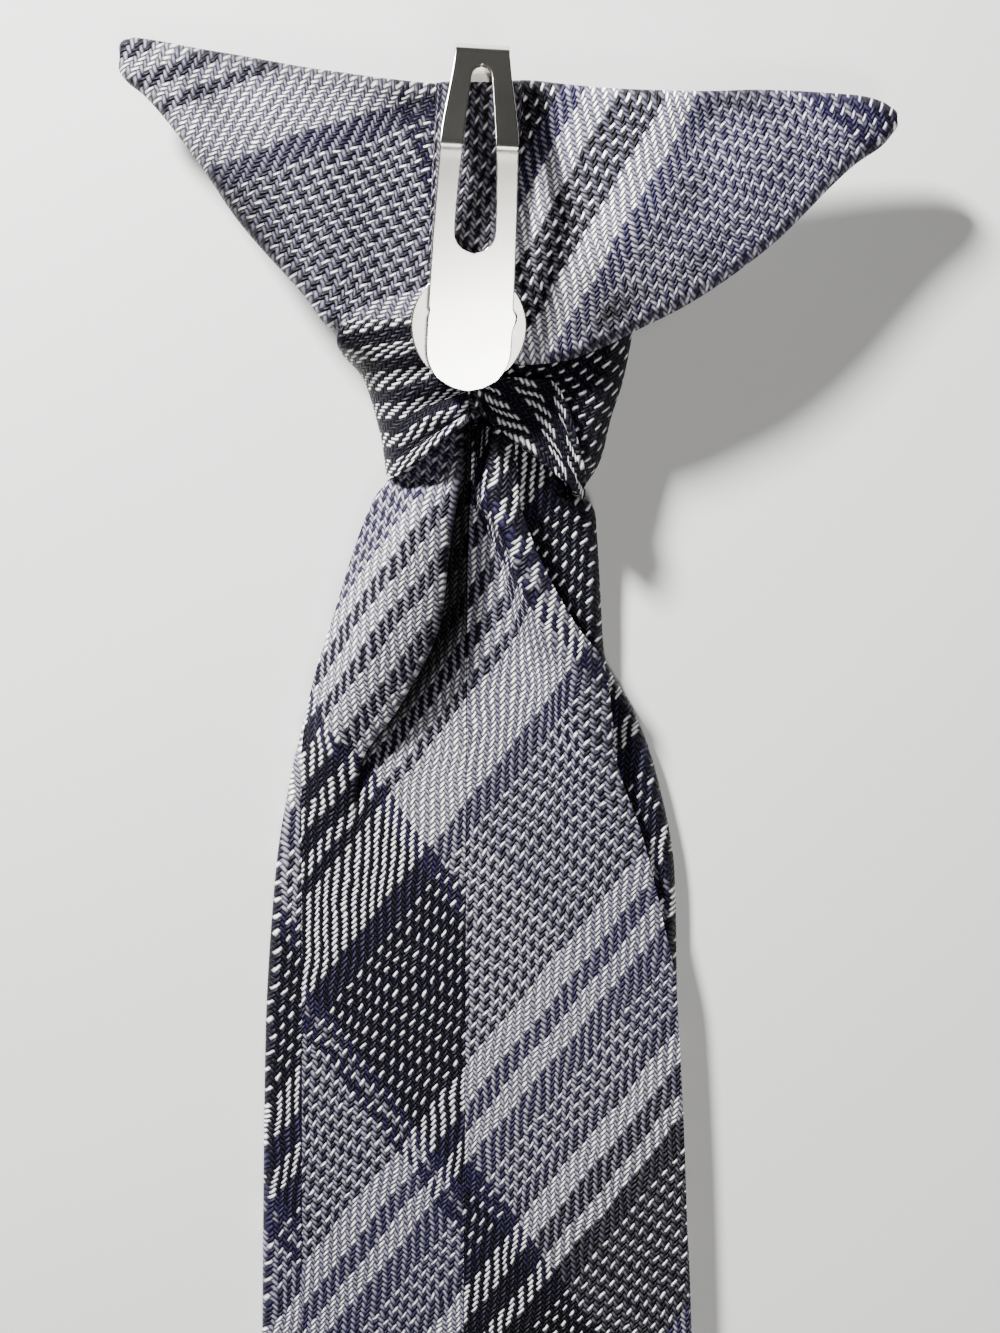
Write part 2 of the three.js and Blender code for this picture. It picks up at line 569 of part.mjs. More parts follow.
function clip() {
  const end = bendTop - armLength;
  const bendRadius = bendInnerRadius + stripWall * half;
  const bendCentre = bendTop - bendInnerRadius - stripWall;
  const legMid = legLow + stripWall * half;
  const discCentre = end + discFromEnd;
  const touch = legTop + fitGap + stripWall * half;
  const crease = bendTop - creaseFromBend;
  const creaseLevel = touch + creaseRise;
  const bend = [];
  for (let i = 0; i <= steps.bend; i += 1) {
    const turn = Math.PI * (i / steps.bend - half);
    const along = bendCentre + bendRadius * Math.cos(turn);
    bend.push(new THREE.Vector2(along, legMid + bendRadius + bendRadius * Math.sin(turn)));
  }
  const arm = [
    new THREE.Vector2(crease + creaseRound, creaseLevel - creaseRound * 0.2),
    new THREE.Vector2(crease, creaseLevel),
    new THREE.Vector2(crease - creaseRound, creaseLevel - creaseRound * 0.15),
    new THREE.Vector2(discCentre + stripWall, touch + stripWall * 0.15),
    new THREE.Vector2(discCentre, touch),
    new THREE.Vector2(end, touch + armEndLift),
  ];
  const leg = [new THREE.Vector2(discCentre - discDiameter, legMid), new THREE.Vector2(bendCentre, legMid)];
  const armSide = sideSlab([...bend, ...arm]);
  const legSide = sideSlab(leg);

  const endRadius = armEndWidth * half;
  const creaseHalf = endRadius * 0.85;
  const bendHalf = armBendWidth * half;
  const armPlan = new THREE.Shape();
  armPlan.moveTo(-bendHalf, bendTop + stripWall);
  armPlan.lineTo(-bendHalf, bendTop - stripWall);
  armPlan.lineTo(-creaseHalf, crease);
  armPlan.lineTo(-endRadius, end + endRadius);
  armPlan.absarc(0, end + endRadius, endRadius, Math.PI, 2 * Math.PI, false);
  armPlan.lineTo(creaseHalf, crease);
  armPlan.lineTo(bendHalf, bendTop - stripWall);
  armPlan.lineTo(bendHalf, bendTop + stripWall);
  const slotEnd = end + slotEndMargin + slotWidth * half;
  const slotTop = bendTop - slotTopMargin - slotTopWidth * half;
  const slotCreaseHalf = slotWidth * 0.45;
  const slot = new THREE.Path();
  slot.absarc(0, slotEnd, slotWidth * half, Math.PI, 2 * Math.PI, false);
  slot.lineTo(slotCreaseHalf, crease);
  slot.absarc(0, slotTop, slotTopWidth * half, 0, Math.PI, false);
  slot.lineTo(-slotCreaseHalf, crease);
  armPlan.holes.push(slot);

  const legPlan = new THREE.Shape();
  legPlan.moveTo(-legWidth * half, bendCentre + fitGap);
  legPlan.lineTo(-legWidth * half, discCentre);
  legPlan.lineTo(legWidth * half, discCentre);
  legPlan.lineTo(legWidth * half, bendCentre + fitGap);
  const disc = new THREE.CylinderGeometry(discDiameter * half, discDiameter * half, stripWall, steps.disc);
  disc.rotateX(Math.PI * half);
  disc.translate(0, discCentre, legMid);

  const low = legLow - stripWall;
  const high = creaseLevel + stripWall * 4;
  const whole = armSide.intersect(planPrism(armPlan, low, high))
    .add(legSide.intersect(planPrism(legPlan, low, legTop + fitGap)))
    .add(solidOf(disc));
  const geometry = geometryOf(whole);
  geometry.rotateZ(-THREE.MathUtils.degToRad(clipTurnDegrees));
  geometry.translate(clipCentre, 0, 0);
  return geometry;
}

// Blade

const halfBlade = bladeWidth * half;

function bladeTaper(y) {
  return Math.max((bladeLength + y) / pointLength * halfBlade, pointEndWidth * half);
}

function bladeHalf(y, name) {
  return Math.min(column(bladeRows, 'at', -y / bladeLength, name) * halfBlade, bladeTaper(y));
}

// The front cloth with its two folded edges: from the left lip, round the left fold, over the front, round
// the right fold and into the right lip
function frontBlade() {
  const inset = clothWall * half;
  const top = -knotDrop + neckInsert;
  const leftDepth = foldDepth - clothWall;
  const leftRadius = leftDepth * half;
  const stops = [0, 2, 6, 12, 16, 18].map((step) => step / steps.bladeAcross);
  return clothSheet(steps.bladeAcross, steps.bladeDown, clothWall, (u, v) => {
    const y = lerp(top, -bladeLength, smoothThrough([0, 0.3, 0.55, 1], [0, 0.06, 0.26, 1], v));
    const at = -y / bladeLength;
    const left = -bladeHalf(y, 'left') + inset;
    const right = bladeHalf(y, 'right') - inset;
    const lift = column(bladeRows, 'at', at, 'lift') * (clothWall + fitGap) + inset;
    const extra = column(bladeRows, 'at', at, 'rightDepth') * (neckFoldDepth - foldDepth);
    const rightDepth = leftDepth + extra;
    const rightRadius = rightDepth * half;
    const lipRoom = (right - left - leftRadius - rightRadius - lipGap) * half;
    const leftLip = Math.min(column(bladeRows, 'at', at, 'leftLip') * halfBlade, lipRoom);
    const rightLip = Math.min(column(bladeRows, 'at', at, 'rightLip') * halfBlade, lipRoom);
    const part = stops.findIndex((stop, i) => u <= stops[i + 1] + Number.EPSILON);
    const t = (u - stops[part]) / (stops[part + 1] - stops[part]);
    const turn = Math.PI * t;
    const flatLeft = left + leftRadius;
    const flatRight = right - rightRadius;
    if (part === 0) return new THREE.Vector3(lerp(flatLeft + leftLip, flatLeft, t), y, lift + leftDepth);
    if (part === 1) {
      const z = lift + leftRadius + leftRadius * Math.cos(turn);
      return new THREE.Vector3(flatLeft - leftRadius * Math.sin(turn), y, z);
    }
    if (part === 2) return new THREE.Vector3(lerp(flatLeft, flatRight, t), y, lift);
    if (part === 3) {
      const z = lift + rightRadius - rightRadius * Math.cos(turn);
      return new THREE.Vector3(flatRight + rightRadius * Math.sin(turn), y, z);
    }
    return new THREE.Vector3(lerp(flatRight, flatRight - rightLip, t), y, lift + rightDepth);
  });
}

// The line where the two panels meet. It moves a little to the right as it runs up into the neck
function seamLine(y) {
  const neck = THREE.MathUtils.smoothstep(y, -knotDrop * seamShiftFrom, -knotDrop * seamShiftTo);
  return seamCentre + seamNeckShift * neck;
}

// The panels end where the point's taper leaves them no width
const panelEnd = -bladeLength + pointLength * (panelInset - seamCentre + 2 * leastStrip) / halfBlade;

function panelAlong(v, top) {
  return lerp(top, panelEnd, smoothThrough([0, 0.27, 0.52, 1], [0, 0.055, 0.24, 1], v));
}

function backPanelLeft() {
  const top = -leftPanelRows[0].at * bladeLength;
  const stations = [0, 5, 9, 11, 14].map((step) => step / steps.leftPanelAcross);
  return clothSheet(steps.leftPanelAcross, steps.panelDown, clothWall, (u, v) => {
    const y = panelAlong(v, top);
    const value = (name) => column(leftPanelRows, 'at', -y / bladeLength, name);
    const limit = bladeTaper(y) - panelInset;
    const seam = seamLine(y) - fitGap * half;
    const edge = Math.max(value('edge') * halfBlade, -Math.max(limit, -seam + leastStrip));
    const inEdge = (share) => Math.max(share * halfBlade, lerp(edge, seam, 0.2));
    const places = [edge, inEdge(value('top')), inEdge(value('lip')), inEdge(value('foot')), seam];
    for (let i = 1; i < 4; i += 1) {
      places[i] = Math.min(Math.max(places[i], places[i - 1] + leastStep), seam - leastStep * (4 - i));
    }
    const rises = [value('edgeUp'), value('topUp'), value('lipUp'), 0, 0];
    const x = smoothThrough(stations, places, u);
    const rise = smoothThrough(stations, rises, u);
    return new THREE.Vector3(x, y, panelLevel + rise * lobeHeight);
  });
}

function backPanelRight() {
  const top = -rightPanelRows[0].at * bladeLength;
  const stations = [0, 4, 8, 12].map((step) => step / steps.rightPanelAcross);
  return clothSheet(steps.rightPanelAcross, steps.panelDown, clothWall, (u, v) => {
    const y = panelAlong(v, top);
    const value = (name) => column(rightPanelRows, 'at', -y / bladeLength, name);
    const limit = bladeTaper(y) - panelInset;
    const seam = seamLine(y) + fitGap * half;
    const edge = Math.min(value('edge') * halfBlade, Math.max(limit, seam + leastStrip));
    const places = [seam, value('foot') * halfBlade, value('crest') * halfBlade, edge];
    for (let i = 1; i < 3; i += 1) {
      places[i] = clamp(places[i], seam + leastStep * i, lerp(seam, edge, i / 3 + 0.2));
    }
    const rises = [0, 0, value('crestUp'), value('edgeUp')];
    const x = smoothThrough(stations, places, u);
    const rise = smoothThrough(stations, rises, u);
    return new THREE.Vector3(x, y, panelLevel + rise * lobeHeight);
  });
}

// Materials

const clothMaterial = new THREE.MeshStandardMaterial({ color: 0x6f6f86, roughness: 0.62, metalness: 0 });
const darkClothMaterial = new THREE.MeshStandardMaterial({ color: 0x4d4d62, roughness: 0.66, metalness: 0 });
const steelMaterial = new THREE.MeshStandardMaterial({ color: 0xd8d6cc, roughness: 0.22, metalness: 1 });

const group = new THREE.Group();

function addPiece(name, geometry, material) {
  const mesh = new THREE.Mesh(geometry, material);
  mesh.name = name;
  group.add(mesh);
}

addPiece('knot_sleeve', knotSleeve(), darkClothMaterial);
addPiece('left_wing', leftWing(), clothMaterial);
addPiece('right_wing', rightWing(), clothMaterial);
addPiece('right_wrap', rightWrap(), clothMaterial);
addPiece('centre_band', centreBand(), darkClothMaterial);
addPiece('clip', clip(), steelMaterial);
addPiece('front_blade', frontBlade(), darkClothMaterial);
addPiece('back_panel_left', backPanelLeft(), clothMaterial);
addPiece('back_panel_right', backPanelRight(), clothMaterial);

export default group;
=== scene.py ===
"""A clip on tie that lies on its front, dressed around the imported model.

Points are worked out in millimetres in the tie's own frame: +X to the right of someone who looks at the
back, +Y up the tie and +Z away from the table. They are scaled to metres as they go into a mesh.
"""
import math
from bisect import bisect_left
from itertools import accumulate

import bmesh
import bpy
from bpy.props import FloatProperty, FloatVectorProperty, PointerProperty
from mathutils import Matrix, Vector, noise


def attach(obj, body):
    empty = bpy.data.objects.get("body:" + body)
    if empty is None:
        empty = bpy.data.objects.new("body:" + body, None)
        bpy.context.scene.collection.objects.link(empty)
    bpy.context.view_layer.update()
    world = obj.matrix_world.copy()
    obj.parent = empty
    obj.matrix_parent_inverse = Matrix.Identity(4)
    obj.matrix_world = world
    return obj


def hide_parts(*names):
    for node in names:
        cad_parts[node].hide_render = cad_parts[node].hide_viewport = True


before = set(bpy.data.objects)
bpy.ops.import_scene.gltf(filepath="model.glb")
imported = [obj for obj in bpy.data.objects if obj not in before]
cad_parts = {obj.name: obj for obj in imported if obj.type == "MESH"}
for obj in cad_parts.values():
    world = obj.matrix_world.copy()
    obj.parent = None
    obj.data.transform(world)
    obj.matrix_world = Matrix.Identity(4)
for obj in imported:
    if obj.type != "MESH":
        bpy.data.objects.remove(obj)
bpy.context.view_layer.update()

bl_info = {
    "name": "Clip on tie",
    "version": (1, 0, 0),
    "blender": (4, 5, 0),
    "location": "View3D > Sidebar > Tie",
    "description": "Makes the cloth, the clip and the stage of a clip on tie",
    "category": "Object",
}

MM = 0.001


def length(name, description, millimetres):
    """A length property whose default is given in millimetres."""
    return FloatProperty(name=name, description=description, default=millimetres * MM, min=0.0,
                         unit="LENGTH", precision=5)


def colour(name, description, rgb):
    """A linear colour property."""
    return FloatVectorProperty(name=name, description=description, default=rgb, size=3, min=0.0, max=1.0,
                               subtype="COLOR")


def power(name, description, watts):
    """A property for the power of a light."""
    return FloatProperty(name=name, description=description, default=watts, min=0.0, unit="POWER")


class ClothSettings(bpy.types.PropertyGroup):
    """The woven cloth."""
    wall: length("Wall", "Thickness of the cloth with its backing", 1.1)
    fit_gap: length("Fit gap", "Room between two layers of cloth", 0.3)
    end_pitch: length("End pitch", "Distance between two warp threads", 0.40)
    pick_pitch: length("Pick pitch", "Distance between two weft threads", 0.438)
    light: colour("Light thread", "Colour of the light threads", (0.96, 0.92, 0.95))
    silver: colour("Silver thread", "Colour of the grey blue threads", (0.365, 0.345, 0.455))
    navy: colour("Navy thread", "Colour of the navy threads", (0.022, 0.017, 0.056))
    dark: colour("Dark thread", "Colour of the dark threads", (0.005, 0.0045, 0.008))


class KnotSettings(bpy.types.PropertyGroup):
    """The knot and what wraps it."""
    rise: length("Rise", "Height of the knot above the origin", 26.2)
    drop: length("Drop", "Depth of the knot below the origin", 18.0)
    top_width: length("Top width", "Width of the knot at its top edge", 37.5)
    top_centre: length("Top centre", "Middle of the top edge", 0.75)
    waist_width: length("Waist width", "Width of the knot at its waist", 20.8)
    waist_centre: length("Waist centre", "Middle of the waist", 0.4)
    waist_slant: length("Waist slant", "Fall of the lower rim from left to right", 2.4)
    depth: length("Depth", "Thickness of the knot", 8.6)
    corner: length("Back corner", "Radius of the knot's edges at the back", 3.2)
    front_corner: length("Front corner", "Radius of the knot's edges at the front", 1.6)
    notch_rise: length("Notch rise", "How far the rim rises where the pleats come out", 8.2)
    wrap_reach: length("Wrap reach", "How far the left wrap goes down the knot's side", 6.4)
    band_width: length("Band width", "Width of the band over the clip's leg", 9.6)


class WingSettings(bpy.types.PropertyGroup):
    """The two wings."""
    left_reach: length("Left reach", "Length of the left wing from the split", 38.3)
    right_reach: length("Right reach", "Length of the right wing from the split", 47.2)
    height: length("Height", "Height that the wing tables are shares of", 32.5)
    depth: length("Depth", "Thickness of a wing", 3.4)
    puff: length("Puff", "How far the wing's upper side swells", 0.9)
    left_droop: length("Left droop", "Fall of the left tip", 2.6)
    right_droop: length("Right droop", "Fall of the right tip", 1.4)


class BladeSettings(bpy.types.PropertyGroup):
    """The blade and its back panels."""
    width: length("Width", "Widest part of the blade", 53.0)
    length: length("Length", "Distance from the origin to the blade's tip", 198.0)
    point: length("Point", "Length of the pointed end", 27.0)
    point_end: length("Point end", "Width of the very tip", 4.0)
    neck_insert: length("Neck insert", "How far the blade goes up into the knot", 6.0)
    fold_depth: length("Fold depth", "Thickness of the blade at a folded edge", 2.6)
    neck_fold_depth: length("Neck fold depth", "Thickness of the right fold at the waist", 4.0)
    lobe_height: length("Lobe height", "How far the pleats rise at the waist", 5.4)
    panel_inset: length("Panel inset", "Distance of a back panel from the blade's edge", 4.2)


class ClipSettings(bpy.types.PropertyGroup):
    """The clip, one strip of steel."""
    wall: length("Wall", "Thickness of the strip", 0.8)
    arm_length: length("Arm length", "Length of the arm", 37.4)
    bend_width: length("Bend width", "Width of the arm at the bend", 5.9)
    end_width: length("End width", "Width of the arm at its round end", 9.4)
    slot_width: length("Slot width", "Width of the slot at its lower end", 4.4)
    slot_top_width: length("Slot top width", "Width of the slot at its upper end", 2.1)
    leg_width: length("Leg width", "Width of the inner leg", 6.0)
    disc: length("Disc", "Diameter of the disc at the leg's end", 12.8)
    plating: colour("Plating", "Colour of the plated steel", (0.74, 0.72, 0.66))


class StageSettings(bpy.types.PropertyGroup):
    """Floor, light and camera."""
    floor: colour("Floor", "Colour of the floor", (0.80, 0.79, 0.77))
    key_power: power("Key power", "Power of the main light", 7.6)
    fill_power: power("Fill power", "Power of the fill light", 1.1)
    overhead_power: power("Overhead power", "Power of the light above", 0.19)


# Shapes, as shares of the sizes above. Only the valley is in millimetres: the width of the painted shade
# right of the left lobe. The entries of a table's lists go together: each is one place along the piece, and
# "at" says where
KNOT_SIDES = {
    "at": (0.0, 0.32, 0.62, 0.7, 0.79, 0.9, 1.0),
    "left": (1.0, 0.8, 0.57, 0.33, 0.18, 0.05, 0.0),
    "right": (1.0, 0.88, 0.62, 0.54, 0.39, 0.26, 0.0),
}
LEFT_WING = {
    "at": (0.0, 0.25, 0.39, 0.46, 0.65, 0.77, 0.93, 0.98, 1.0),
    "top": (0.81, 0.83, 0.85, 0.86, 0.9, 0.925, 0.96, 0.966, 0.945),
    "low": (-0.02, -0.02, -0.014, 0.085, 0.335, 0.54, 0.77, 0.815, 0.85),
    "depth": (1.0, 1.0, 1.0, 1.0, 1.0, 0.95, 0.85, 0.8, 0.7),
    "puff": (0.0, 0.1, 0.9, 1.0, 1.0, 0.8, 0.3, 0.1, 0.0),
}
RIGHT_WING = {
    "at": (0.0, 0.12, 0.2, 0.3, 0.38, 0.5, 0.69, 0.9, 0.97, 1.0),
    "top": (0.815, 0.83, 0.82, 0.808, 0.804, 0.802, 0.812, 0.802, 0.78, 0.75),
    "low": (-0.11, -0.13, -0.12, -0.07, -0.012, 0.077, 0.271, 0.563, 0.634, 0.69),
    "depth": (1.0, 1.0, 1.0, 1.0, 1.0, 1.0, 0.95, 0.9, 0.85, 0.75),
    "puff": (0.0, 0.1, 0.4, 0.8, 1.0, 1.0, 0.9, 0.5, 0.2, 0.0),
}
RIGHT_WRAP = {
    "at": (0.0, 0.35, 0.6, 0.85, 1.0),
    "upper_x": (-0.03, 0.31, 0.41, 0.48, 0.51),
    "upper_y": (0.31, 0.32, 0.46, 0.74, 0.92),
    "lower_x": (-0.02, 0.16, 0.33, 0.45, 0.51),
    "lower_y": (0.55, 0.73, 0.88, 0.99, 1.06),
}
BLADE = {
    "at": (0.06, 0.085, 0.088, 0.093, 0.0975, 0.1005, 0.107, 0.12, 0.155, 0.19, 0.222, 0.262, 0.32, 0.42,
           0.6, 0.86),
    "left": (0.3, 0.304, 0.425, 0.445, 0.462, 0.475, 0.5, 0.545, 0.625, 0.7, 0.775, 0.848, 0.916, 0.962,
             0.98, 1.0),
    "right": (0.34, 0.342, 0.343, 0.345, 0.35, 0.455, 0.48, 0.49, 0.51, 0.53, 0.66, 0.77, 0.855, 0.878,
              0.958, 1.0),
    "lift": (1.0,) * 4 + (0.9, 0.75, 0.6, 0.3) + (0.0,) * 8,
    "right_depth": (1.0,) * 8 + (0.85, 0.45, 0.25, 0.05) + (0.0,) * 4,
    "left_lip": (0.11, 0.11, 0.12, 0.12, 0.13, 0.135, 0.14, 0.15, 0.18) + (0.2,) * 7,
    "right_lip": (0.22,) * 5 + (0.27, 0.28, 0.28, 0.2, 0.08, 0.12, 0.18) + (0.2,) * 4,
}
LEFT_PANEL = {
    "at": (0.052, 0.068, 0.086, 0.097, 0.12, 0.165, 0.214, 0.252, 0.3, 0.4, 0.86),
    "edge": (-0.29, -0.295, -0.39, -0.465, -0.535, -0.64, -0.75, -0.79, -0.796, -0.798, -0.8),
    "top": (-0.205, -0.215, -0.24, -0.27, -0.33, -0.43, -0.56, -0.68, -0.71, -0.71, -0.71),
    "lip": (-0.122, -0.122, -0.132, -0.148, -0.178, -0.215, -0.38, -0.56, -0.6, -0.6, -0.6),
    "foot": (-0.13, -0.14, -0.17, -0.2, -0.24, -0.285, -0.44, -0.56, -0.52, -0.5, -0.5),
    "edge_up": (0.27,) * 4 + (0.1,) + (0.0,) * 6,
    "top_up": (0.54, 0.56, 0.6, 0.84, 1.0, 0.9, 0.55, 0.22, 0.03, 0.0, 0.0),
    "lip_up": (0.42, 0.5, 0.66, 0.8, 0.88, 0.8, 0.48, 0.18, 0.02, 0.0, 0.0),
    "foot_up": (0.0, -0.1, -0.2, -0.32, -0.34, -0.3, -0.16, -0.04, 0.0, 0.0, 0.0),
    "valley": (1.8, 2.6, 3.2, 3.6, 4.4, 4.2, 2.8, 1.2, 0.0, 0.0, 0.0),
}
RIGHT_PANEL = {
    "at": (0.056, 0.08, 0.098, 0.117, 0.146, 0.174, 0.191, 0.225, 0.251, 0.295, 0.345, 0.385, 0.6, 0.86),
    "foot": (-0.02, -0.035, -0.045, 0.02, 0.09, 0.14, 0.175, 0.25, 0.33, 0.43, 0.5, 0.5, 0.5, 0.5),
    "top": (0.04, 0.025, 0.03, 0.095, 0.18, 0.28, 0.37, 0.43, 0.47, 0.59, 0.68, 0.7, 0.73, 0.76),
    "edge": (0.11, 0.12, 0.13, 0.17, 0.27, 0.4, 0.5, 0.545, 0.57, 0.69, 0.79, 0.855, 0.935, 0.975),
    "top_up": (0.57, 0.7, 0.84, 0.9, 0.88, 0.78, 0.66, 0.46, 0.3, 0.12, 0.02, 0.0, 0.0, 0.0),
    "edge_up": (0.52, 0.62, 0.72, 0.76, 0.74, 0.62, 0.48, 0.32, 0.18, 0.04, 0.0, 0.0, 0.0, 0.0),
}

# The plaid. A band is a number of threads, their lightness and the share of navy in them. Some go on with
# a 1 if they are fine, with one light thread to two dark ones, and how far they hide what crosses them
WARP_SETT = (
    (13, 1.0, 0.0), (7, 0.0, 0.6), (43, 0.0, 0.2, 1), (7, 0.95, 0.3), (5, 0.0, 0.9), (6, 0.95, 0.3),
    (6, 0.0, 0.9), (13, 0.0, 0.6, 1), (4, 0.0, 0.4), (7, 0.98, 0.1), (5, 0.0, 0.2, 0, 0.3),
    (6, 0.95, 0.0, 0, 0.3), (4, 0.0, 0.1, 0, 0.8), (34, 0.0, 0.0, 1, 0.8), (6, 0.0, 1.0), (8, 1.0, 0.0),
    (11, 0.0, 0.0, 1, 0.6), (8, 1.0, 0.0), (5, 0.0, 1.0), (46, 0.0, 0.8, 1), (5, 0.95, 0.2), (4, 0.0, 0.2),
    (5, 0.95, 0.1), (4, 0.0, 0.2), (6, 0.95, 0.1), (4, 0.0, 0.2), (5, 0.95, 0.1), (4, 0.0, 0.2),
    (4, 0.95, 0.1), (3, 0.0, 0.2), (6, 1.0, 0.1),
)
WEFT_SETT = ((50, 0.66, 1.0), (3, 0.0, 1.0), (2, 0.4, 0.8), (3, 0.0, 1.0), (43, 0.0, 0.1), (5, 0.0, 0.9),
             (56, 0.7, 0.8))

# How the weave lies: the angles across the warp and across the weft in degrees from the map's U axis, the
# threads that both are shifted by, and the tone: painted light, a factor that paints the whole piece lighter
# above 1, and darker as painted shade below 1
LAYS = {
    "knot": (-27.0, 49.0, 73.0, 130.0, 1.0),
    "left_wing": (-71.0, 18.0, 80.7, 53.0, 0.92),
    "left_wrap": (-90.0, -10.0, 244.5, 78.0, 1.0),
    "right_wing": (-30.0, 54.0, 176.0, -45.0, 1.5),
    "right_wrap": (-38.0, 38.0, -30.0, 80.0, 1.0),
    "band": (-39.0, 37.0, 24.0, 10.0, 0.5),
    "blade": (-39.0, 37.0, -31.0, 77.0, 1.0),
    "back_panel_left": (-39.0, 37.0, -68.0, 197.5, 1.0),
    "back_panel_right": (-39.0, 37.0, -68.0, 78.0, 1.0),
}

# How far the weave wanders in millimetres, and how light, rough and raised in metres its threads are. The
# gap and crown shades paint the threads darker between them as painted shade, and lighter on their crowns
# as painted highlights
WANDER_REACH = 1.6
TREMBLE_REACH = 0.26
THREAD_LEAST = 0.82
THREAD_SPREAD = 0.36
THREAD_BUMP = 0.00025
PATCH_LEAST = 0.62
PATCH_SPREAD = 0.76
GAP_SHADE = 0.07
CROWN_SHADE = 1.35
GAP_ROUGHNESS = 0.62
CROWN_SHINE = 0.22

# Spots of the wings: x and y of the middle, depth, reach across and along, in millimetres, and the lean
# in radians. Dents press the cloth in and are painted a little darker as painted shade. Shades are painted
# shade only, and the depth of a shade is how dark it is
LEFT_SHADES = (
    (-15.0, 27.6, 0.7, 11.0, 2.2, -0.08),
    (-28.5, 29.6, 0.6, 7.0, 1.9, -0.08),
    (-27.6, 12.0, 0.75, 2.2, 11.0, 0.64),
    (-31.0, 24.5, 0.35, 1.4, 3.5, 0.6),
)
RIGHT_SHADES = (
    (13.5, 1.2, 0.85, 2.0, 5.5, -0.79),
    (22.0, 6.6, 0.55, 2.0, 6.5, -0.87),
    (28.0, 25.3, 0.7, 4.5, 2.6, 0.0),
    (21.5, 14.5, 0.5, 1.7, 3.4, -0.6),
    (17.5, 8.8, 0.5, 1.6, 3.4, -0.6),
    (2.2, 23.0, 0.65, 2.4, 4.0, 0.0),
)
LEFT_DENTS = (
    (-9.0, 23.5, 1.0, 3.6, 2.6, 0.2),
    (-24.0, 13.5, 0.45, 2.2, 7.0, 0.6),
    (-31.0, 24.0, 0.4, 2.0, 5.0, 0.9),
)
RIGHT_DENTS = (
    (12.0, 3.0, 0.8, 2.2, 6.0, -0.7),
    (24.0, 22.5, 0.7, 2.4, 5.0, -0.5),
    (4.5, 19.0, 0.7, 2.0, 6.0, -0.3),
    (33.0, 16.5, 0.4, 2.0, 4.0, -0.5),
)

# The wings and the knot's notch. DENT_SHADE, the painted shade in a dent, and DROOP_START are shares,
# the rest is in millimetres
DENT_SHADE = 0.4
RIPPLE_SIZE = 9.0
RIPPLE_HEIGHT = 0.28
WING_SPLIT = -2.1
DROOP_START = 0.42
NOTCH_CENTRE = -1.5

# The blade and its panels. Lengths are in millimetres, the stretch and the painted shades are shares. The
# rows of both lie closer together at the waist
BLADE_ROWS = ((0, 0.3, 0.55, 1), (0, 0.06, 0.26, 1))
PANEL_ROWS = ((0, 0.27, 0.52, 1), (0, 0.055, 0.24, 1))
LIP_ROOM = 0.5
RIGHT_LIP_SHIFT = (8.1, 7.2)
SEAM_X = -2.1
SEAM_BEND = 0.4
SEAM_ROOM = 0.02
PANEL_END_ROOM = 3.1
LEAST_PANEL = 0.5
LEAST_STEP = 0.05
PLEAT_STRETCH = 0.4
FLANK_SHADE = 0.62
VALLEY_SHADE = 0.95

# The clip. Lengths are in millimetres and turns in radians. ROUNDING says where the rows of a round end lie,
# as shares of its radius
CLIP_CENTRE = -2.5
CLIP_TURN = math.radians(2.4)
BEND_ABOVE_KNOT = 4.0
BEND_RADIUS = 1.4
BEND_TANGENT = math.radians(75.0)
CREASE_FROM_BEND = 11.2
CREASE_RISE = 4.2
CREASE_ROUND = 0.9
DISC_FROM_END = 7.1
SLOT_FROM_END = 14.9
SLOT_FROM_BEND = 2.5
ARM_ROOM = 0.25
STRIP_RIM = 0.32
ROUNDING = (0.0, 0.2, 0.4, 0.6, 0.8, 0.94, 1.0)

# Shifts of the arm's two edges near its end: the corner across, from where to where, and how far
NIBS = ((9, 0.5, 1.5, 0.45), (0, 1.0, 1.7, 0.25))
NIB_ROWS = 12

# The stage, in metres, with the sensor's height in millimetres. A light has its place, the point that it
# looks at, and its diameter
LIGHTS = (
    ("key", (-0.21, 0.25, 0.20), (0.0, -0.02, 0.0), 0.06),
    ("fill", (0.032, -0.20, 0.50), (0.0, 0.0, 0.0), 0.14),
    ("overhead", (0.036, 0.030, 0.60), (0.0, 0.0, 0.0), 0.10),
)
WORLD_COLOUR = (0.9, 0.95, 1.0, 1.0)
WORLD_STRENGTH = 0.022
FLOOR_SIZE = 3.0
CAMERA_PLACE = Vector((-0.015801, -0.011140, 0.289115))
CAMERA_TARGET = Vector((0.001964, -0.039031, 0.0))
FOCAL_SHARE = 2487.0 / 1333.0
SENSOR_HEIGHT = 36.0


def lerp(a, b, t):
    return a + (b - a) * t


def clamp(value, low, high):
    return min(max(value, low), high)


def smoothstep(value, low, high):
    """Runs from 0 at low to 1 at high, also where low is the larger of the two."""
    t = clamp((value - low) / (high - low), 0.0, 1.0)
    return t * t * (3.0 - 2.0 * t)


def smooth_through(places, values, place):
    """A smooth curve through the points of two lists, without overshoot between them."""
    last = len(places) - 1
    if place <= places[0]:
        return values[0]
    if place >= places[last]:
        return values[last]
    i = bisect_left(places, place) - 1

    def slope(k):
        return (values[k + 1] - values[k]) / (places[k + 1] - places[k])

    def tangent(k):
        if k in (0, last):
            return 0.0
        before, after = slope(k - 1), slope(k)
        return 0.0 if before * after <= 0.0 else 2.0 * before * after / (before + after)

    step = places[i + 1] - places[i]
    t = (place - places[i]) / step
    return ((2 * t ** 3 - 3 * t ** 2 + 1) * values[i] + (t ** 3 - 2 * t ** 2 + t) * step * tangent(i)
            + (3 * t ** 2 - 2 * t ** 3) * values[i + 1] + (t ** 3 - t ** 2) * step * tangent(i + 1))


def read(table, name, at):
    return smooth_through(table["at"], table[name], at)

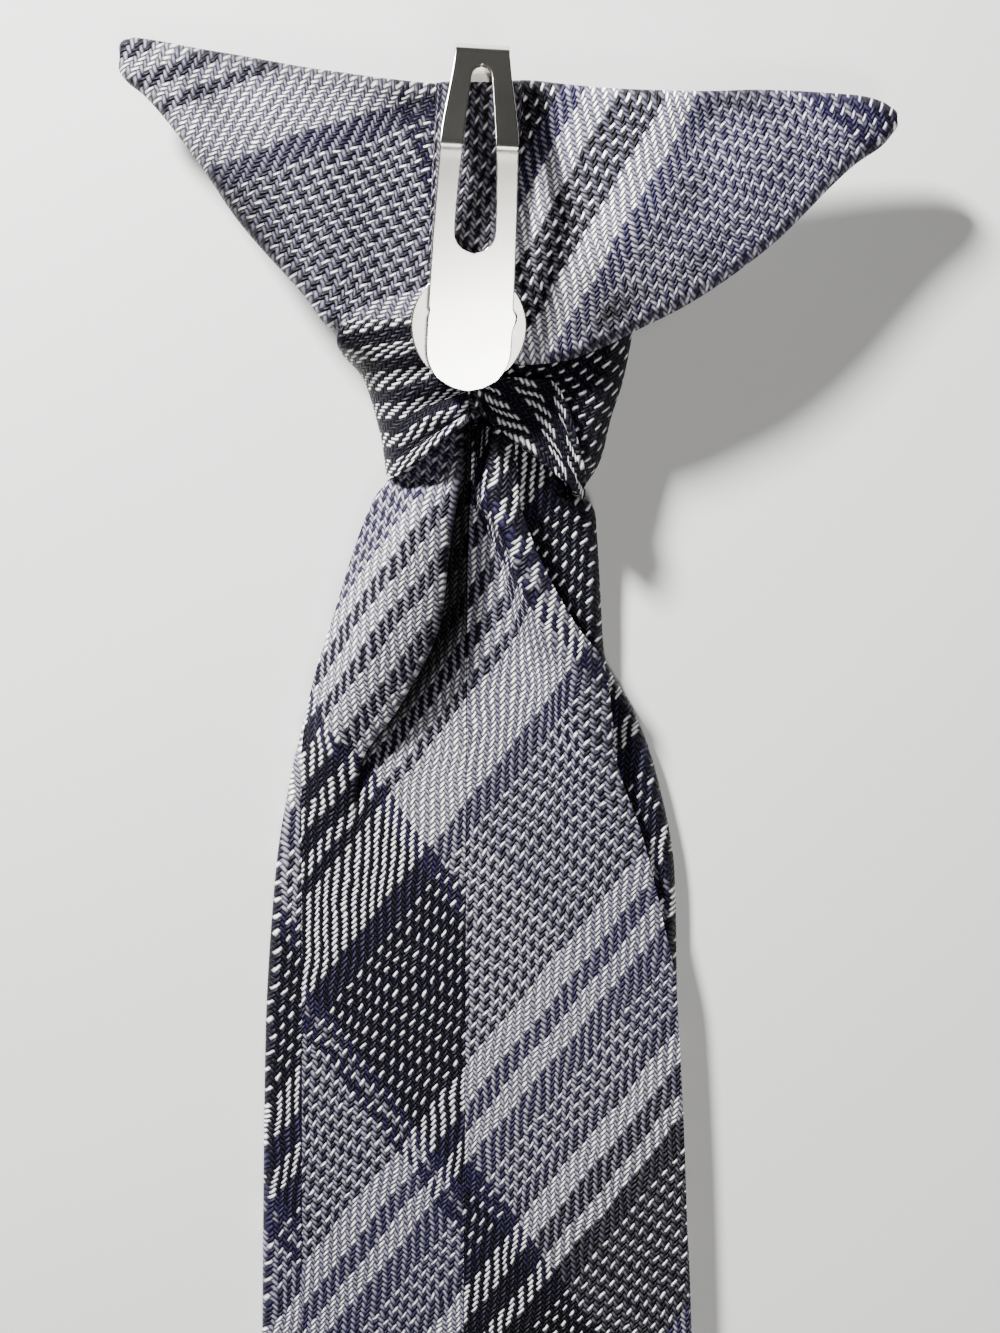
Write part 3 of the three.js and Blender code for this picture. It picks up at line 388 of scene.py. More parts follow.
class Sizes:
    """The settings of a group in millimetres."""

    def __init__(self, group):
        for name in group.__annotations__:
            value = getattr(group, name)
            if isinstance(value, float):
                setattr(self, name, value / MM)


def sizes():
    scene = bpy.context.scene
    return (Sizes(scene.tie_cloth), Sizes(scene.tie_knot), Sizes(scene.tie_wing), Sizes(scene.tie_blade),
            Sizes(scene.tie_clip))


def add_grid(bm, across, along):
    """Adds a grid. Returns its corners by their numbers across and along."""
    made = bmesh.ops.create_grid(bm, x_segments=across, y_segments=along, size=1.0)["verts"]
    return {(round((vert.co.x + 1.0) * 0.5 * across), round((vert.co.y + 1.0) * 0.5 * along)): vert
            for vert in made}


def distances(line):
    """How far each place of a line is from its first, along the line."""
    return list(accumulate(((b - a).length for a, b in zip(line, line[1:])), initial=0.0))


def add_sheet(bm, across, along, point, uv_from, ring=False, material=0, plan=None, deep=None):
    """Adds one sheet of cloth: a grid whose corners are moved to point(u, v). Its UV map holds the distances
    in millimetres along the cloth from the place uv_from, or plan(u, place) with the u of the face where the
    sheet has a plan. The last function, of u and the place, says how dark the painted shade is there."""
    layer = bm.loops.layers.uv.get("cloth") or bm.loops.layers.uv.new("cloth")
    # Each corner's painted shade
    shade = bm.verts.layers.float.get("deep") or bm.verts.layers.float.new("deep")
    grid = add_grid(bm, across, along)
    places = {(i, j): Vector(point(i / across, j / along)) for i, j in grid}
    mid_i = round(uv_from[0] * across)
    mid_j = round(uv_from[1] * along)
    run = distances([places[mid_i, j] for j in range(along + 1)])
    flat = {}
    for j in range(along + 1):
        reach = distances([places[i, j] for i in range(across + 1)])
        for i in range(across + 1):
            flat[i, j] = (reach[i] - reach[mid_i], run[mid_j] - run[j])
    spots = {vert: key for key, vert in grid.items()}
    for face in {face for vert in spots for face in vert.link_faces}:
        face.material_index = material
        own = sum(spots[vert][0] for vert in face.verts) / (len(face.verts) * across)
        for loop in face.loops:
            key = spots[loop.vert]
            loop[layer].uv = plan(own, places[key]) if plan else flat[key]
    for key, vert in grid.items():
        vert.co = places[key] * MM
        vert[shade] = deep(key[0] / across, places[key]) if deep else 0.0
    if ring:
        bmesh.ops.remove_doubles(bm, verts=list(grid.values()), dist=1e-6)


def finish_mesh(bm, name):
    mesh = bpy.data.meshes.new(name)
    bm.to_mesh(mesh)
    bm.free()
    for face in mesh.polygons:
        face.use_smooth = True
    piece = bpy.data.objects.new(name, mesh)
    bpy.context.scene.collection.objects.link(piece)
    return piece


def thicken(piece, wall, sharpness, levels=1):
    """Gives a sheet its wall and rounds it."""
    solid = piece.modifiers.new("wall", "SOLIDIFY")
    solid.thickness = wall * MM
    solid.offset = 0.0
    solid.use_even_offset = True
    for edge in ("inner", "outer", "rim"):
        setattr(solid, "edge_crease_" + edge, sharpness)
    smooth = piece.modifiers.new("soften", "SUBSURF")
    smooth.levels = levels
    smooth.render_levels = levels


def finish_cloth(bm, name, cloth, sharpness=0.3):
    piece = finish_mesh(bm, name)
    thicken(piece, cloth.wall, sharpness)
    return piece


def one_sheet(name, cloth, across, along, point, uv_from, sharpness=0.3, **more):
    """Makes a piece that is one sheet of cloth."""
    bm = bmesh.new()
    add_sheet(bm, across, along, point, uv_from, **more)
    return finish_cloth(bm, name, cloth, sharpness)


def put_on(piece, node):
    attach(piece, "root")
    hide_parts(node)


def dress(piece, node, width, long, *weaves):
    """Gives a piece its weaves and its place. It also works out the piece's area, at most the width times
    the length given in millimetres, but doesn't keep it."""
    for weave in weaves:
        piece.data.materials.append(cloth_material(weave))
    put_on(piece, node)
    area = clamp(sum(face.area for face in piece.data.polygons), 0.0, width * long * MM * MM)


def waist_side(knot, sign):
    return knot.waist_centre + sign * knot.waist_width / 2


def knot_sides(knot, y):
    """The left and the right side of the knot at a height."""
    at = clamp((knot.rise - y) / (knot.rise + knot.drop), 0.0, 1.0)
    return [lerp(waist_side(knot, sign), knot.top_centre + sign * knot.top_width / 2,
                 read(KNOT_SIDES, name, at)) for sign, name in ((-1, "left"), (1, "right"))]


def waist_rim(knot, x):
    return -knot.drop - knot.waist_slant * (x - knot.waist_centre) / knot.waist_width


def notch_rim(knot, x):
    """The lower rim at the back, which rises to a notch where the pleats come out."""
    side = (NOTCH_CENTRE - waist_side(knot, -1) if x < NOTCH_CENTRE
            else waist_side(knot, 1) - NOTCH_CENTRE)
    return waist_rim(knot, x) + knot.notch_rise * clamp(1 - abs(x - NOTCH_CENTRE) / side, 0.0, 1.0)


def round_section(share, left, right, low, high, corner_low, corner_high):
    """A closed section with round corners. It starts at the middle of the top and runs to the right."""
    quarter = int(share * 4) % 4
    t = (share * 4) % 1.0
    sign_x = 1 if quarter < 2 else -1
    on_top = quarter in (0, 3)
    corner = corner_high if on_top else corner_low
    from_middle = (t if quarter % 2 == 0 else 1 - t) * 2
    turn = max(from_middle - 1, 0.0) * math.pi / 2
    span = (right - left) / 2
    x = (span - corner) * min(from_middle, 1.0) + corner * math.sin(turn)
    sink = corner * (1 - math.cos(turn))
    return (left + right) / 2 + sign_x * x, (high - sink) if on_top else (low + sink)


def make_knot_sleeve(cloth, knot):
    inset = cloth.wall / 2
    top = knot.rise - cloth.fit_gap
    side_share, back_share = 0.55, 0.85

    def point(u, v):
        left, right = knot_sides(knot, lerp(top, -knot.drop, v))
        x, z = round_section(u, left + inset, right - inset, inset, knot.depth - inset, knot.front_corner,
                             knot.corner - inset)
        on_back = smoothstep(z, knot.depth * side_share, knot.depth * back_share)
        rim = lerp(waist_rim(knot, x), notch_rim(knot, x) + cloth.fit_gap, on_back)
        return x, lerp(top, rim, v), z

    return one_sheet("knot_cloth", cloth, 96, 36, point, (0.5, 0.5), ring=True)


def hollow_and_painted_shade(spots, x, y):
    """How strong the spots of a list are at a place: how deep dents are, and how dark painted shades are."""
    depth = 0.0
    for mid_x, mid_y, own_depth, wide, long, lean in spots:
        near = (x - mid_x) * math.cos(lean) + (y - mid_y) * math.sin(lean)
        along = (y - mid_y) * math.cos(lean) - (x - mid_x) * math.sin(lean)
        depth += own_depth * math.exp(-(near / wide) ** 2 - (along / long) ** 2)
    return depth


class WingShape:
    """A folded wing. The sign is -1 for the left one and 1 for the right one."""

    def __init__(self, cloth, knot, wing, sign):
        self.wing, self.sign = wing, sign
        self.table, self.dents, self.shades, self.reach, self.droop, self.seed = (
            (LEFT_WING, LEFT_DENTS, LEFT_SHADES, wing.left_reach, wing.left_droop, 1) if sign < 0 else
            (RIGHT_WING, RIGHT_DENTS, RIGHT_SHADES, wing.right_reach, wing.right_droop, 2))
        self.root = WING_SPLIT + sign * cloth.fit_gap
        self.inset = cloth.wall / 2
        self.base = knot.depth + cloth.fit_gap

    def out(self, x):
        return clamp((x - self.root) / (self.sign * self.reach), 0.0, 1.0)

    def edges(self, out):
        return (read(self.table, "low", out) * self.wing.height + self.inset,
                read(self.table, "top", out) * self.wing.height - self.inset)

    def crown(self, out, y):
        low, top = self.edges(out)
        return clamp(1 - ((y - (top + low) / 2) / ((top - low) / 2)) ** 2, 0.0, 1.0)

    def puff(self, out, y):
        return read(self.table, "puff", out) * self.wing.puff * self.crown(out, y)

    def fall(self, out):
        return self.droop * smoothstep(out, DROOP_START, 1.0)

    def level(self, x, y):
        """The height of the middle of the wing's upper cloth at a place."""
        out = self.out(x)
        return (self.base - self.inset + read(self.table, "depth", out) * self.wing.depth + self.puff(out, y)
                - self.fall(out))

    def point(self, u, out):
        """The middle of the cloth: u runs round the wing's section and out runs to its tip."""
        low, top = self.edges(out)
        depth = read(self.table, "depth", out) * self.wing.depth - 2 * self.inset
        radius = min(depth, top - low) * 0.49
        share = u if self.sign > 0 else 1 - u
        y, z = round_section(share, low, top, 0.0, depth, radius, radius)
        on_top = clamp(z / depth, 0.0, 1.0)
        x = self.root + self.sign * self.reach * out
        wave = noise.noise(Vector((x / RIPPLE_SIZE, y / RIPPLE_SIZE, self.seed * 7.3)))
        uneven = RIPPLE_HEIGHT * wave * self.crown(out, y) * on_top * smoothstep(out, 0.1, 0.4)
        uneven -= hollow_and_painted_shade(self.dents, x, y) * on_top
        return x, y, self.base + self.inset + z + self.puff(out, y) * on_top - self.fall(out) + uneven

    def plan(self, u, place):
        """The map is the view from above. The cloth of the underside unfolds over the top edge."""
        x, y, _ = place
        if 0.25 < u < 0.75:
            y = 2 * read(self.table, "top", self.out(x)) * self.wing.height - y
        return x, y

    # Painted shade: dents are painted a little darker, and the shades darken the cloth with no dent
    def deep(self, _, place):
        return (DENT_SHADE * hollow_and_painted_shade(self.dents, place[0], place[1])
                + hollow_and_painted_shade(self.shades, place[0], place[1]))


def left_wrap_point(cloth, knot, shape):
    """The cloth that runs down from the left wing over the left of the knot. It comes out of the wing's
    upper side, and u goes up the knot's side and in."""
    start, start_left = 3.6, -14.5
    lean, sunk, proud = 0.17, -0.9, 0.25
    spread = 0.9
    fold_height, fold_rate, fold_start = 0.32, 26.0, 0.6
    offset = cloth.fit_gap + cloth.wall / 2
    waist = waist_rim(knot, waist_side(knot, -1))

    def point(u, v):
        nominal = lerp(start, waist, v)
        left = knot_sides(knot, nominal)[0] - offset - spread * smoothstep(nominal, -3.5, 0.2)
        left = lerp(left, start_left, smoothstep(nominal, 0.6, start))
        radius = lerp(0.1, knot.corner + offset, smoothstep(nominal, 0.8, -2.4))
        side = lerp(0.05, knot.wrap_reach - knot.corner, smoothstep(nominal, 0.0, -4.5))
        flat = shape.root - left - radius
        run = (1 - u) * (flat + radius * math.pi / 2 + side)
        turn = clamp((run - flat) / radius, 0.0, math.pi / 2)
        x = shape.root - min(run, flat) - radius * math.sin(turn)
        rise = notch_rim(knot, x) - waist_rim(knot, x)
        y = lerp(start - lean * (shape.root - x), waist_rim(knot, x), v) + rise * v * v
        on_wing = shape.level(x, max(y, 3.0)) + lerp(sunk, proud, smoothstep(v, 0.0, 0.12))
        level = lerp(shape.base + cloth.wall / 2, on_wing, smoothstep(y, -9.0, 1.2))
        fold = fold_height * math.sin(v * fold_rate + fold_start) * smoothstep(v, 0.22, 0.4)
        z = level - radius * (1 - math.cos(turn)) - max(run - flat - radius * math.pi / 2, 0.0)
        return x, y, z + fold * smoothstep(run, flat + radius, flat * 0.7)

    return point


def make_wing(cloth, knot, wing, sign):
    shape = WingShape(cloth, knot, wing, sign)
    bm = bmesh.new()
    add_sheet(bm, 72, 64, shape.point, (0.0, 0.0), ring=True, plan=shape.plan, deep=shape.deep)
    if sign < 0:
        add_sheet(bm, 60, 56, left_wrap_point(cloth, knot, shape), (0.45, 0.0), material=1)
    return finish_cloth(bm, "left_wing_cloth" if sign < 0 else "right_wing_cloth", cloth)


def make_right_wrap(cloth, knot):
    offset = cloth.fit_gap + cloth.wall / 2
    back_level = knot.depth + offset
    corner = knot.corner + offset
    ridge_height, ridge_rate = 0.12, 15.0

    def point(u, v):
        x = lerp(read(RIGHT_WRAP, "lower_x", v), read(RIGHT_WRAP, "upper_x", v), u) * knot.waist_width
        y = -lerp(read(RIGHT_WRAP, "lower_y", v), read(RIGHT_WRAP, "upper_y", v), u) * knot.drop
        side = knot_sides(knot, y)[1]
        past = clamp((x - (side - knot.corner)) / corner, 0.0, 1.0)
        z = back_level - corner * (1 - math.sqrt(1 - past * past))
        return x, y, z + ridge_height * math.sin(u * ridge_rate)

    return one_sheet("right_wrap_cloth", cloth, 24, 36, point, (0.5, 0.0))


def levels(cloth, knot, wing, clip):
    """The heights of the wings' upper side and of the leg's two sides."""
    wing_top = knot.depth + cloth.fit_gap + wing.depth
    leg_low = wing_top + cloth.fit_gap
    return wing_top, leg_low, leg_low + clip.wall


def make_centre_band(cloth, knot, wing, clip):
    wing_top, _, leg_top = levels(cloth, knot, wing, clip)
    middle_level = leg_top + cloth.fit_gap + cloth.wall / 2
    land_level = wing_top + cloth.fit_gap + cloth.wall / 2
    bottom = (DISC_FROM_END - clip.arm_length + (knot.rise + BEND_ABOVE_KNOT) + clip.disc / 2
              + cloth.fit_gap)

    def point(u, v):
        across = (u - 0.5) * knot.band_width
        y = lerp(knot.rise, bottom, v)
        land = smoothstep(abs(across), clip.leg_width / 2 + cloth.fit_gap,
                          knot.band_width / 2 - cloth.fit_gap)
        return CLIP_CENTRE + math.tan(CLIP_TURN) * y + across, y, lerp(middle_level, land_level, land)

    return one_sheet("centre_band_cloth", cloth, 32, 30, point, (0.5, 0.0))


def blade_taper(blade, y):
    return max((blade.length + y) / blade.point * blade.width / 2, blade.point_end / 2)


def blade_half(blade, y, name):
    return min(read(BLADE, name, -y / blade.length) * blade.width / 2, blade_taper(blade, y))


def make_front_blade(cloth, knot, blade):
    """The cloth that lies face down. From left to right it is a lip, a fold, the front, a fold and a lip."""
    inset = cloth.wall / 2
    top = -knot.drop + blade.neck_insert
    half = blade.width / 2
    depth = blade.fold_depth - cloth.wall
    radius = depth / 2
    stops = (0.0, 2 / 18, 6 / 18, 12 / 18, 16 / 18, 1.0)

    def point(u, v):
        y = lerp(top, -blade.length, smooth_through(*BLADE_ROWS, v))
        at = -y / blade.length
        left = -blade_half(blade, y, "left") + inset
        right = blade_half(blade, y, "right") - inset
        lift = read(BLADE, "lift", at) * (cloth.wall + cloth.fit_gap) + inset
        right_depth = depth + read(BLADE, "right_depth", at) * (blade.neck_fold_depth - blade.fold_depth)
        right_radius = right_depth / 2
        room = (right - left - radius - right_radius - LIP_ROOM) / 2
        left_lip = min(read(BLADE, "left_lip", at) * half, room)
        right_lip = min(read(BLADE, "right_lip", at) * half, room)
        flat_left = left + radius
        flat_right = right - right_radius
        part = next(k for k in range(5) if u <= stops[k + 1] + 1e-9)
        t = (u - stops[part]) / (stops[part + 1] - stops[part])
        turn = math.pi * t
        if part == 0:
            return lerp(flat_left + left_lip, flat_left, t), y, lift + depth
        if part == 1:
            return flat_left - radius * math.sin(turn), y, lift + radius + radius * math.cos(turn)
        if part == 2:
            return lerp(flat_left, flat_right, t), y, lift
        if part == 3:
            return (flat_right + right_radius * math.sin(turn), y,
                    lift + right_radius - right_radius * math.cos(turn))
        return lerp(flat_right, flat_right - right_lip, t), y, lift + right_depth

    def plan(u, place):
        x, y, _ = place
        if u < 4 / 18:
            return x, y
        if u > 14 / 18:
            return x + RIGHT_LIP_SHIFT[0], y + RIGHT_LIP_SHIFT[1]
        return -2 * half - x, y

    return one_sheet("front_blade_cloth", cloth, 72, 150, point, (0.5, 0.0), plan=plan)


def seam_line(knot, y):
    return SEAM_X + SEAM_BEND * smoothstep(y, -knot.drop * 1.6, -knot.drop * 0.8)


def make_panel(cloth, knot, blade, on_left):
    """One of the two panels that meet at the centre seam, with the pleat that comes out of the knot."""
    table = LEFT_PANEL if on_left else RIGHT_PANEL
    half = blade.width / 2
    level = blade.fold_depth + cloth.fit_gap + cloth.wall / 2
    top = -table["at"][0] * blade.length
    bottom = -blade.length + blade.point * (blade.panel_inset + PANEL_END_ROOM) / half

    def rises(at, *names):
        return tuple(read(table, name, at) for name in names)

    def point(u, v):
        y = lerp(top, bottom, smooth_through(*PANEL_ROWS, v))
        at = -y / blade.length
        limit = blade_taper(blade, y) - blade.panel_inset
        seam = seam_line(knot, y) + (-SEAM_ROOM if on_left else SEAM_ROOM)
        if on_left:
            edge = max(read(table, "edge", at) * half, -max(limit, -seam + LEAST_PANEL))
            places = [edge] + [max(read(table, name, at) * half, lerp(edge, seam, 0.2))
                               for name in ("top", "lip", "foot")] + [seam]
            for i in (1, 2):
                places[i] = clamp(places[i], places[i - 1] + LEAST_STEP, seam - LEAST_STEP * (4 - i))
            places[3] = min(places[3], seam - LEAST_STEP)
            heights = rises(at, "edge_up", "top_up", "lip_up", "foot_up") + (0.0,)
            stations = (0.0, 5 / 14, 8 / 14, 10.5 / 14, 1.0)
        else:
            edge = min(read(table, "edge", at) * half, max(limit, seam + LEAST_PANEL))
            places = [seam, read(table, "foot", at) * half, read(table, "top", at) * half, edge]
            for i in (1, 2):
                places[i] = clamp(places[i], seam + LEAST_STEP * i, lerp(seam, edge, i / 3 + 0.2))
            heights = (0.0, 0.0) + rises(at, "top_up", "edge_up")
            stations = (0.0, 1 / 3, 2 / 3, 1.0)
        return (smooth_through(stations, places, u), y,
                level + smooth_through(stations, heights, u) * blade.lobe_height)

    def plan(_, place):
        return place[0] + PLEAT_STRETCH * (place[2] - level), place[1]

    def deep(u, place):
        """Painted shade under the knot, on the flank of the left lobe and in the valley to its right."""
        x, y, _ = place
        at = -y / blade.length
        hole = smoothstep(y, -15.5, -11.5) * (1 - smoothstep(abs(x + 1.2), 0.5, 1.6))
        if not on_left:
            return hole
        if u < 0.6:
            return max(hole, FLANK_SHADE * smoothstep(u, 0.38, 0.58) * (1 - smoothstep(at, 0.18, 0.25)))
        valley = read(table, "valley", at)
        if valley <= 0.1:
            return hole
        beyond = x - read(table, "lip", at) * half
        return max(hole, VALLEY_SHADE * (1 - smoothstep(beyond, 0.7 * valley, 1.3 * valley)))

    name = "left_panel_cloth" if on_left else "right_panel_cloth"
    return one_sheet(name, cloth, 64, 160, point, (1.0 if on_left else 0.0, 0.0), 0.9, plan=plan, deep=deep)


class Nodes:
    """Short ways to add nodes to a tree. A value for an input is a plain one or a socket to link."""

    def __init__(self, tree):
        self.tree = tree

    def fill(self, node, inputs):
        for key, value in inputs.items():
            if isinstance(value, bpy.types.NodeSocket):
                self.tree.links.new(value, node.inputs[key])
            else:
                node.inputs[key].default_value = value

    def add(self, kind, inputs=None, **settings):
        node = self.tree.nodes.new(kind)
        for name, value in settings.items():
            setattr(node, name, value)
        self.fill(node, inputs or {})
        return node

    def math(self, operation, *values):
        return self.add("ShaderNodeMath", dict(enumerate(values)), operation=operation).outputs[0]

    def times(self, a, b):
        return self.math("MULTIPLY", a, b)

    def plus(self, a, b):
        return self.math("ADD", a, b)

    def scale(self, vector, factor):
        return self.add("ShaderNodeVectorMath", {0: vector, "Scale": factor}, operation="SCALE").outputs[0]

    def mix(self, share, a, b, kind="RGBA"):
        node = self.add("ShaderNodeMix", {"Factor": share, "A": a, "B": b}, data_type=kind)
        return node.outputs["Result"]


def new_material(name):
    """Returns a new material with its nodes and its shader."""
    material = bpy.data.materials.new(name)
    material.use_nodes = True
    return material, Nodes(material.node_tree), material.node_tree.nodes["Principled BSDF"]


def rgba(value):
    return (*value, 1.0)


def sett_ramp(nodes, number, sett):
    """Reads a sett at a thread's number. Returns the four values of its band."""
    total = sum(band[0] for band in sett)
    share = nodes.math("DIVIDE", nodes.math("FLOORED_MODULO", number, total), total)
    ramp = nodes.add("ShaderNodeValToRGB", {"Fac": share})
    ramp.color_ramp.interpolation = "CONSTANT"
    steps = ramp.color_ramp.elements
    passed = 0
    for row, (threads, *values) in enumerate(sett):
        step = steps[row] if row < 2 else steps.new(passed / total)
        step.position = passed / total
        step.color = values + [0.0] * (4 - len(values))
        passed += threads
    split = nodes.add("ShaderNodeSeparateColor", {0: ramp.outputs["Color"]})
    return (*split.outputs, ramp.outputs["Alpha"])


def plaid_group(colours):
    """The cloth: a two and two twill of coloured threads. The vector is the distance along the cloth in
    millimetres."""
    tree = bpy.data.node_groups.new("twill_plaid", "ShaderNodeTree")
    numbers = ("Ends X", "Ends Y", "End Shift", "Picks X", "Picks Y", "Pick Shift", "Tone")
    for way, kind, names in (("INPUT", "Vector", ("Vector",)), ("INPUT", "Float", numbers),
                             ("OUTPUT", "Color", ("Color",)), ("OUTPUT", "Float", ("Height", "Roughness"))):
        for name in names:
            tree.interface.new_socket(name, in_out=way, socket_type="NodeSocket" + kind)
    nodes = Nodes(tree)
    given = nodes.add("NodeGroupInput").outputs
    result = nodes.add("NodeGroupOutput")
    wander = nodes.add("ShaderNodeTexNoise", {"Vector": given["Vector"], "Scale": 0.16})
    tremble = nodes.add("ShaderNodeTexNoise", {"Vector": given["Vector"], "Scale": 1.6, "Detail": 3.0})

    def shifted(vector, unevenness, reach):
        inputs = {0: unevenness.outputs["Color"], 1: (reach, reach, 0.0), 2: vector}
        return nodes.add("ShaderNodeVectorMath", inputs, operation="MULTIPLY_ADD").outputs[0]

    moved = shifted(shifted(given["Vector"], wander, WANDER_REACH), tremble, TREMBLE_REACH)
    flat = nodes.add("ShaderNodeSeparateXYZ", {0: moved}).outputs

    def threads(kind, shift):
        steps = [nodes.times(flat[axis], given[kind + " " + axis]) for axis in ("X", "Y")]
        return nodes.plus(nodes.plus(*steps), given[shift])

    def in_four(value):
        return nodes.math("FLOORED_MODULO", value, 4.0)

    ends = threads("Ends", "End Shift")
    picks = threads("Picks", "Pick Shift")
    end = nodes.math("FLOOR", ends)
    pick = nodes.math("FLOOR", picks)
    warp_up = nodes.math("LESS_THAN", in_four(nodes.plus(end, pick)), 2.0)
    warp_run = nodes.math("DIVIDE", in_four(nodes.plus(end, picks)), 2.0)
    weft_run = nodes.math("DIVIDE", nodes.math("SUBTRACT", in_four(nodes.plus(ends, pick)), 2.0), 2.0)

    def thread_colour(number, sett, seed):
        lightness, navy, fine, veil = sett_ramp(nodes, number, sett)
        single = nodes.math("LESS_THAN", nodes.math("FLOORED_MODULO", number, 3.0), 1.0)
        light = nodes.mix(fine, lightness, single, "FLOAT")
        deep = nodes.mix(navy, rgba(colours.dark), rgba(colours.navy))
        bright = nodes.mix(navy, rgba(colours.light), rgba(colours.silver))
        own = nodes.add("ShaderNodeTexWhiteNoise", {"W": nodes.plus(number, seed)}, noise_dimensions="1D")
        own_shade = nodes.plus(THREAD_LEAST, nodes.times(own.outputs["Value"], THREAD_SPREAD))
        return nodes.scale(nodes.mix(light, deep, bright), own_shade), veil

    warp, veil = thread_colour(end, WARP_SETT, 0.5)
    weft, _ = thread_colour(pick, WEFT_SETT, 700.5)
    weft = nodes.mix(veil, weft, rgba(colours.dark))

    def arch(value):
        return nodes.math("SINE", nodes.times(nodes.math("MAXIMUM", value, 0.0), math.pi))

    def swell(across, run, flatness):
        """The height of a thread: round across, and falling to the flatness where it dips under another."""
        return nodes.times(arch(nodes.math("FRACT", across)),
                           nodes.plus(flatness, nodes.times(arch(run), 1.0 - flatness)))

    weft_height = nodes.times(swell(picks, weft_run, 0.50), 0.80)
    height = nodes.mix(warp_up, weft_height, swell(ends, warp_run, 0.40), "FLOAT")
    patch = nodes.plus(PATCH_LEAST, nodes.times(tremble.outputs["Fac"], PATCH_SPREAD))
    # Painted shade between threads, painted highlights on their crowns, random patches and painted light
    shade = nodes.plus(GAP_SHADE, nodes.times(nodes.math("POWER", height, 1.5), CROWN_SHADE))
    shade = nodes.times(nodes.times(shade, patch), given["Tone"])
    nodes.fill(result, {
        "Color": nodes.scale(nodes.mix(warp_up, weft, warp), shade),
        "Height": height,
        "Roughness": nodes.math("SUBTRACT", GAP_ROUGHNESS, nodes.times(height, CROWN_SHINE)),
    })
    return tree


def cloth_material(name):
    """The cloth of one piece. Its weave lies as the row of that name in LAYS says."""
    settings = bpy.context.scene.tie_cloth
    cloth = Sizes(settings)
    group = bpy.data.node_groups.get("twill_plaid") or plaid_group(settings)
    # The tone of a lay is the piece's painted light: above 1 the whole piece is painted lighter, below 1
    # darker
    end_angle, pick_angle, end_shift, pick_shift, piece_painted_light = LAYS[name]
    material, nodes, shader = new_material(name + "_weave")
    # The sheet's painted shade darkens the colour
    deep = nodes.add("ShaderNodeAttribute", attribute_name="deep")
    given = {
        "Vector": nodes.add("ShaderNodeUVMap", uv_map="cloth").outputs[0],
        "End Shift": end_shift,
        "Pick Shift": pick_shift,
        "Tone": nodes.times(nodes.math("SUBTRACT", 1.0, deep.outputs["Fac"]), piece_painted_light),
    }
    for kind, angle, pitch in (("Ends", end_angle, cloth.end_pitch),
                               ("Picks", pick_angle, cloth.pick_pitch)):
        per_millimetre = 1.0 / pitch
        given[kind + " X"] = math.cos(math.radians(angle)) * per_millimetre
        given[kind + " Y"] = math.sin(math.radians(angle)) * per_millimetre
    weave = nodes.add("ShaderNodeGroup", node_tree=group)
    nodes.fill(weave, given)
    bump = nodes.add("ShaderNodeBump", {"Strength": 0.8, "Distance": THREAD_BUMP,
                                        "Height": weave.outputs["Height"]})
    nodes.fill(shader, {
        "Base Color": weave.outputs["Color"],
        "Roughness": weave.outputs["Roughness"],
        "Normal": bump.outputs[0],
        "Specular IOR Level": 0.16,
    })
    return material


def steel_material(colours):
    material, nodes, shader = new_material("plated_steel")
    place = nodes.add("ShaderNodeTexCoord").outputs["Object"]
    smudge = nodes.add("ShaderNodeTexNoise", {"Scale": 150.0, "Detail": 4.0, "Vector": place})
    rough = nodes.add("ShaderNodeMapRange", {"From Min": 0.35, "From Max": 0.75, "To Min": 0.18,
                                             "To Max": 0.20, "Value": smudge.outputs["Fac"]})
    dulled = rgba([part * 0.86 for part in colours.plating])
    nodes.fill(shader, {
        "Roughness": rough.outputs[0],
        "Base Color": nodes.mix(smudge.outputs["Fac"], rgba(colours.plating), dulled),
        "Metallic": 1.0,
    })
    return material


class TIE_OT_knot_sleeve(bpy.types.Operator):
    """Makes the cloth of the knot's front and sides"""
    bl_idname = "tie.knot_sleeve"
    bl_label = "Knot sleeve"

    def execute(self, context):
        cloth, knot, *_ = sizes()
        dress(make_knot_sleeve(cloth, knot), "knot_sleeve", 88.0, 44.0, "knot")
        return {"FINISHED"}


class TIE_OT_wings(bpy.types.Operator):
    """Makes the two folded wings"""
    bl_idname = "tie.wings"
    bl_label = "Wings"

    def execute(self, context):
        cloth, knot, wing, *_ = sizes()
        left = make_wing(cloth, knot, wing, -1)
        dress(left, "left_wing", 76.0, 52.0, "left_wing", "left_wrap")
        dress(make_wing(cloth, knot, wing, 1), "right_wing", 62.0, 48.0, "right_wing")
        return {"FINISHED"}


class TIE_OT_wraps(bpy.types.Operator):
    """Makes the wrap to the waist and the band over the clip's leg"""
    bl_idname = "tie.wraps"
    bl_label = "Wraps"

    def execute(self, context):
        cloth, knot, wing, _, clip = sizes()
        dress(make_right_wrap(cloth, knot), "right_wrap", 19.0, 10.5, "right_wrap")
        dress(make_centre_band(cloth, knot, wing, clip), "centre_band", 10.8, 19.9, "band")
        return {"FINISHED"}


class TIE_OT_blade(bpy.types.Operator):
    """Makes the front blade and its two back panels"""
    bl_idname = "tie.blade"
    bl_label = "Blade"

    def execute(self, context):
        cloth, knot, _, blade, _ = sizes()
        dress(make_front_blade(cloth, knot, blade), "front_blade", 68.0, 186.0, "blade")
        for on_left, node, width in ((True, "back_panel_left", 21.0), (False, "back_panel_right", 28.0)):
            dress(make_panel(cloth, knot, blade, on_left), node, width, 181.0, node)
        return {"FINISHED"}


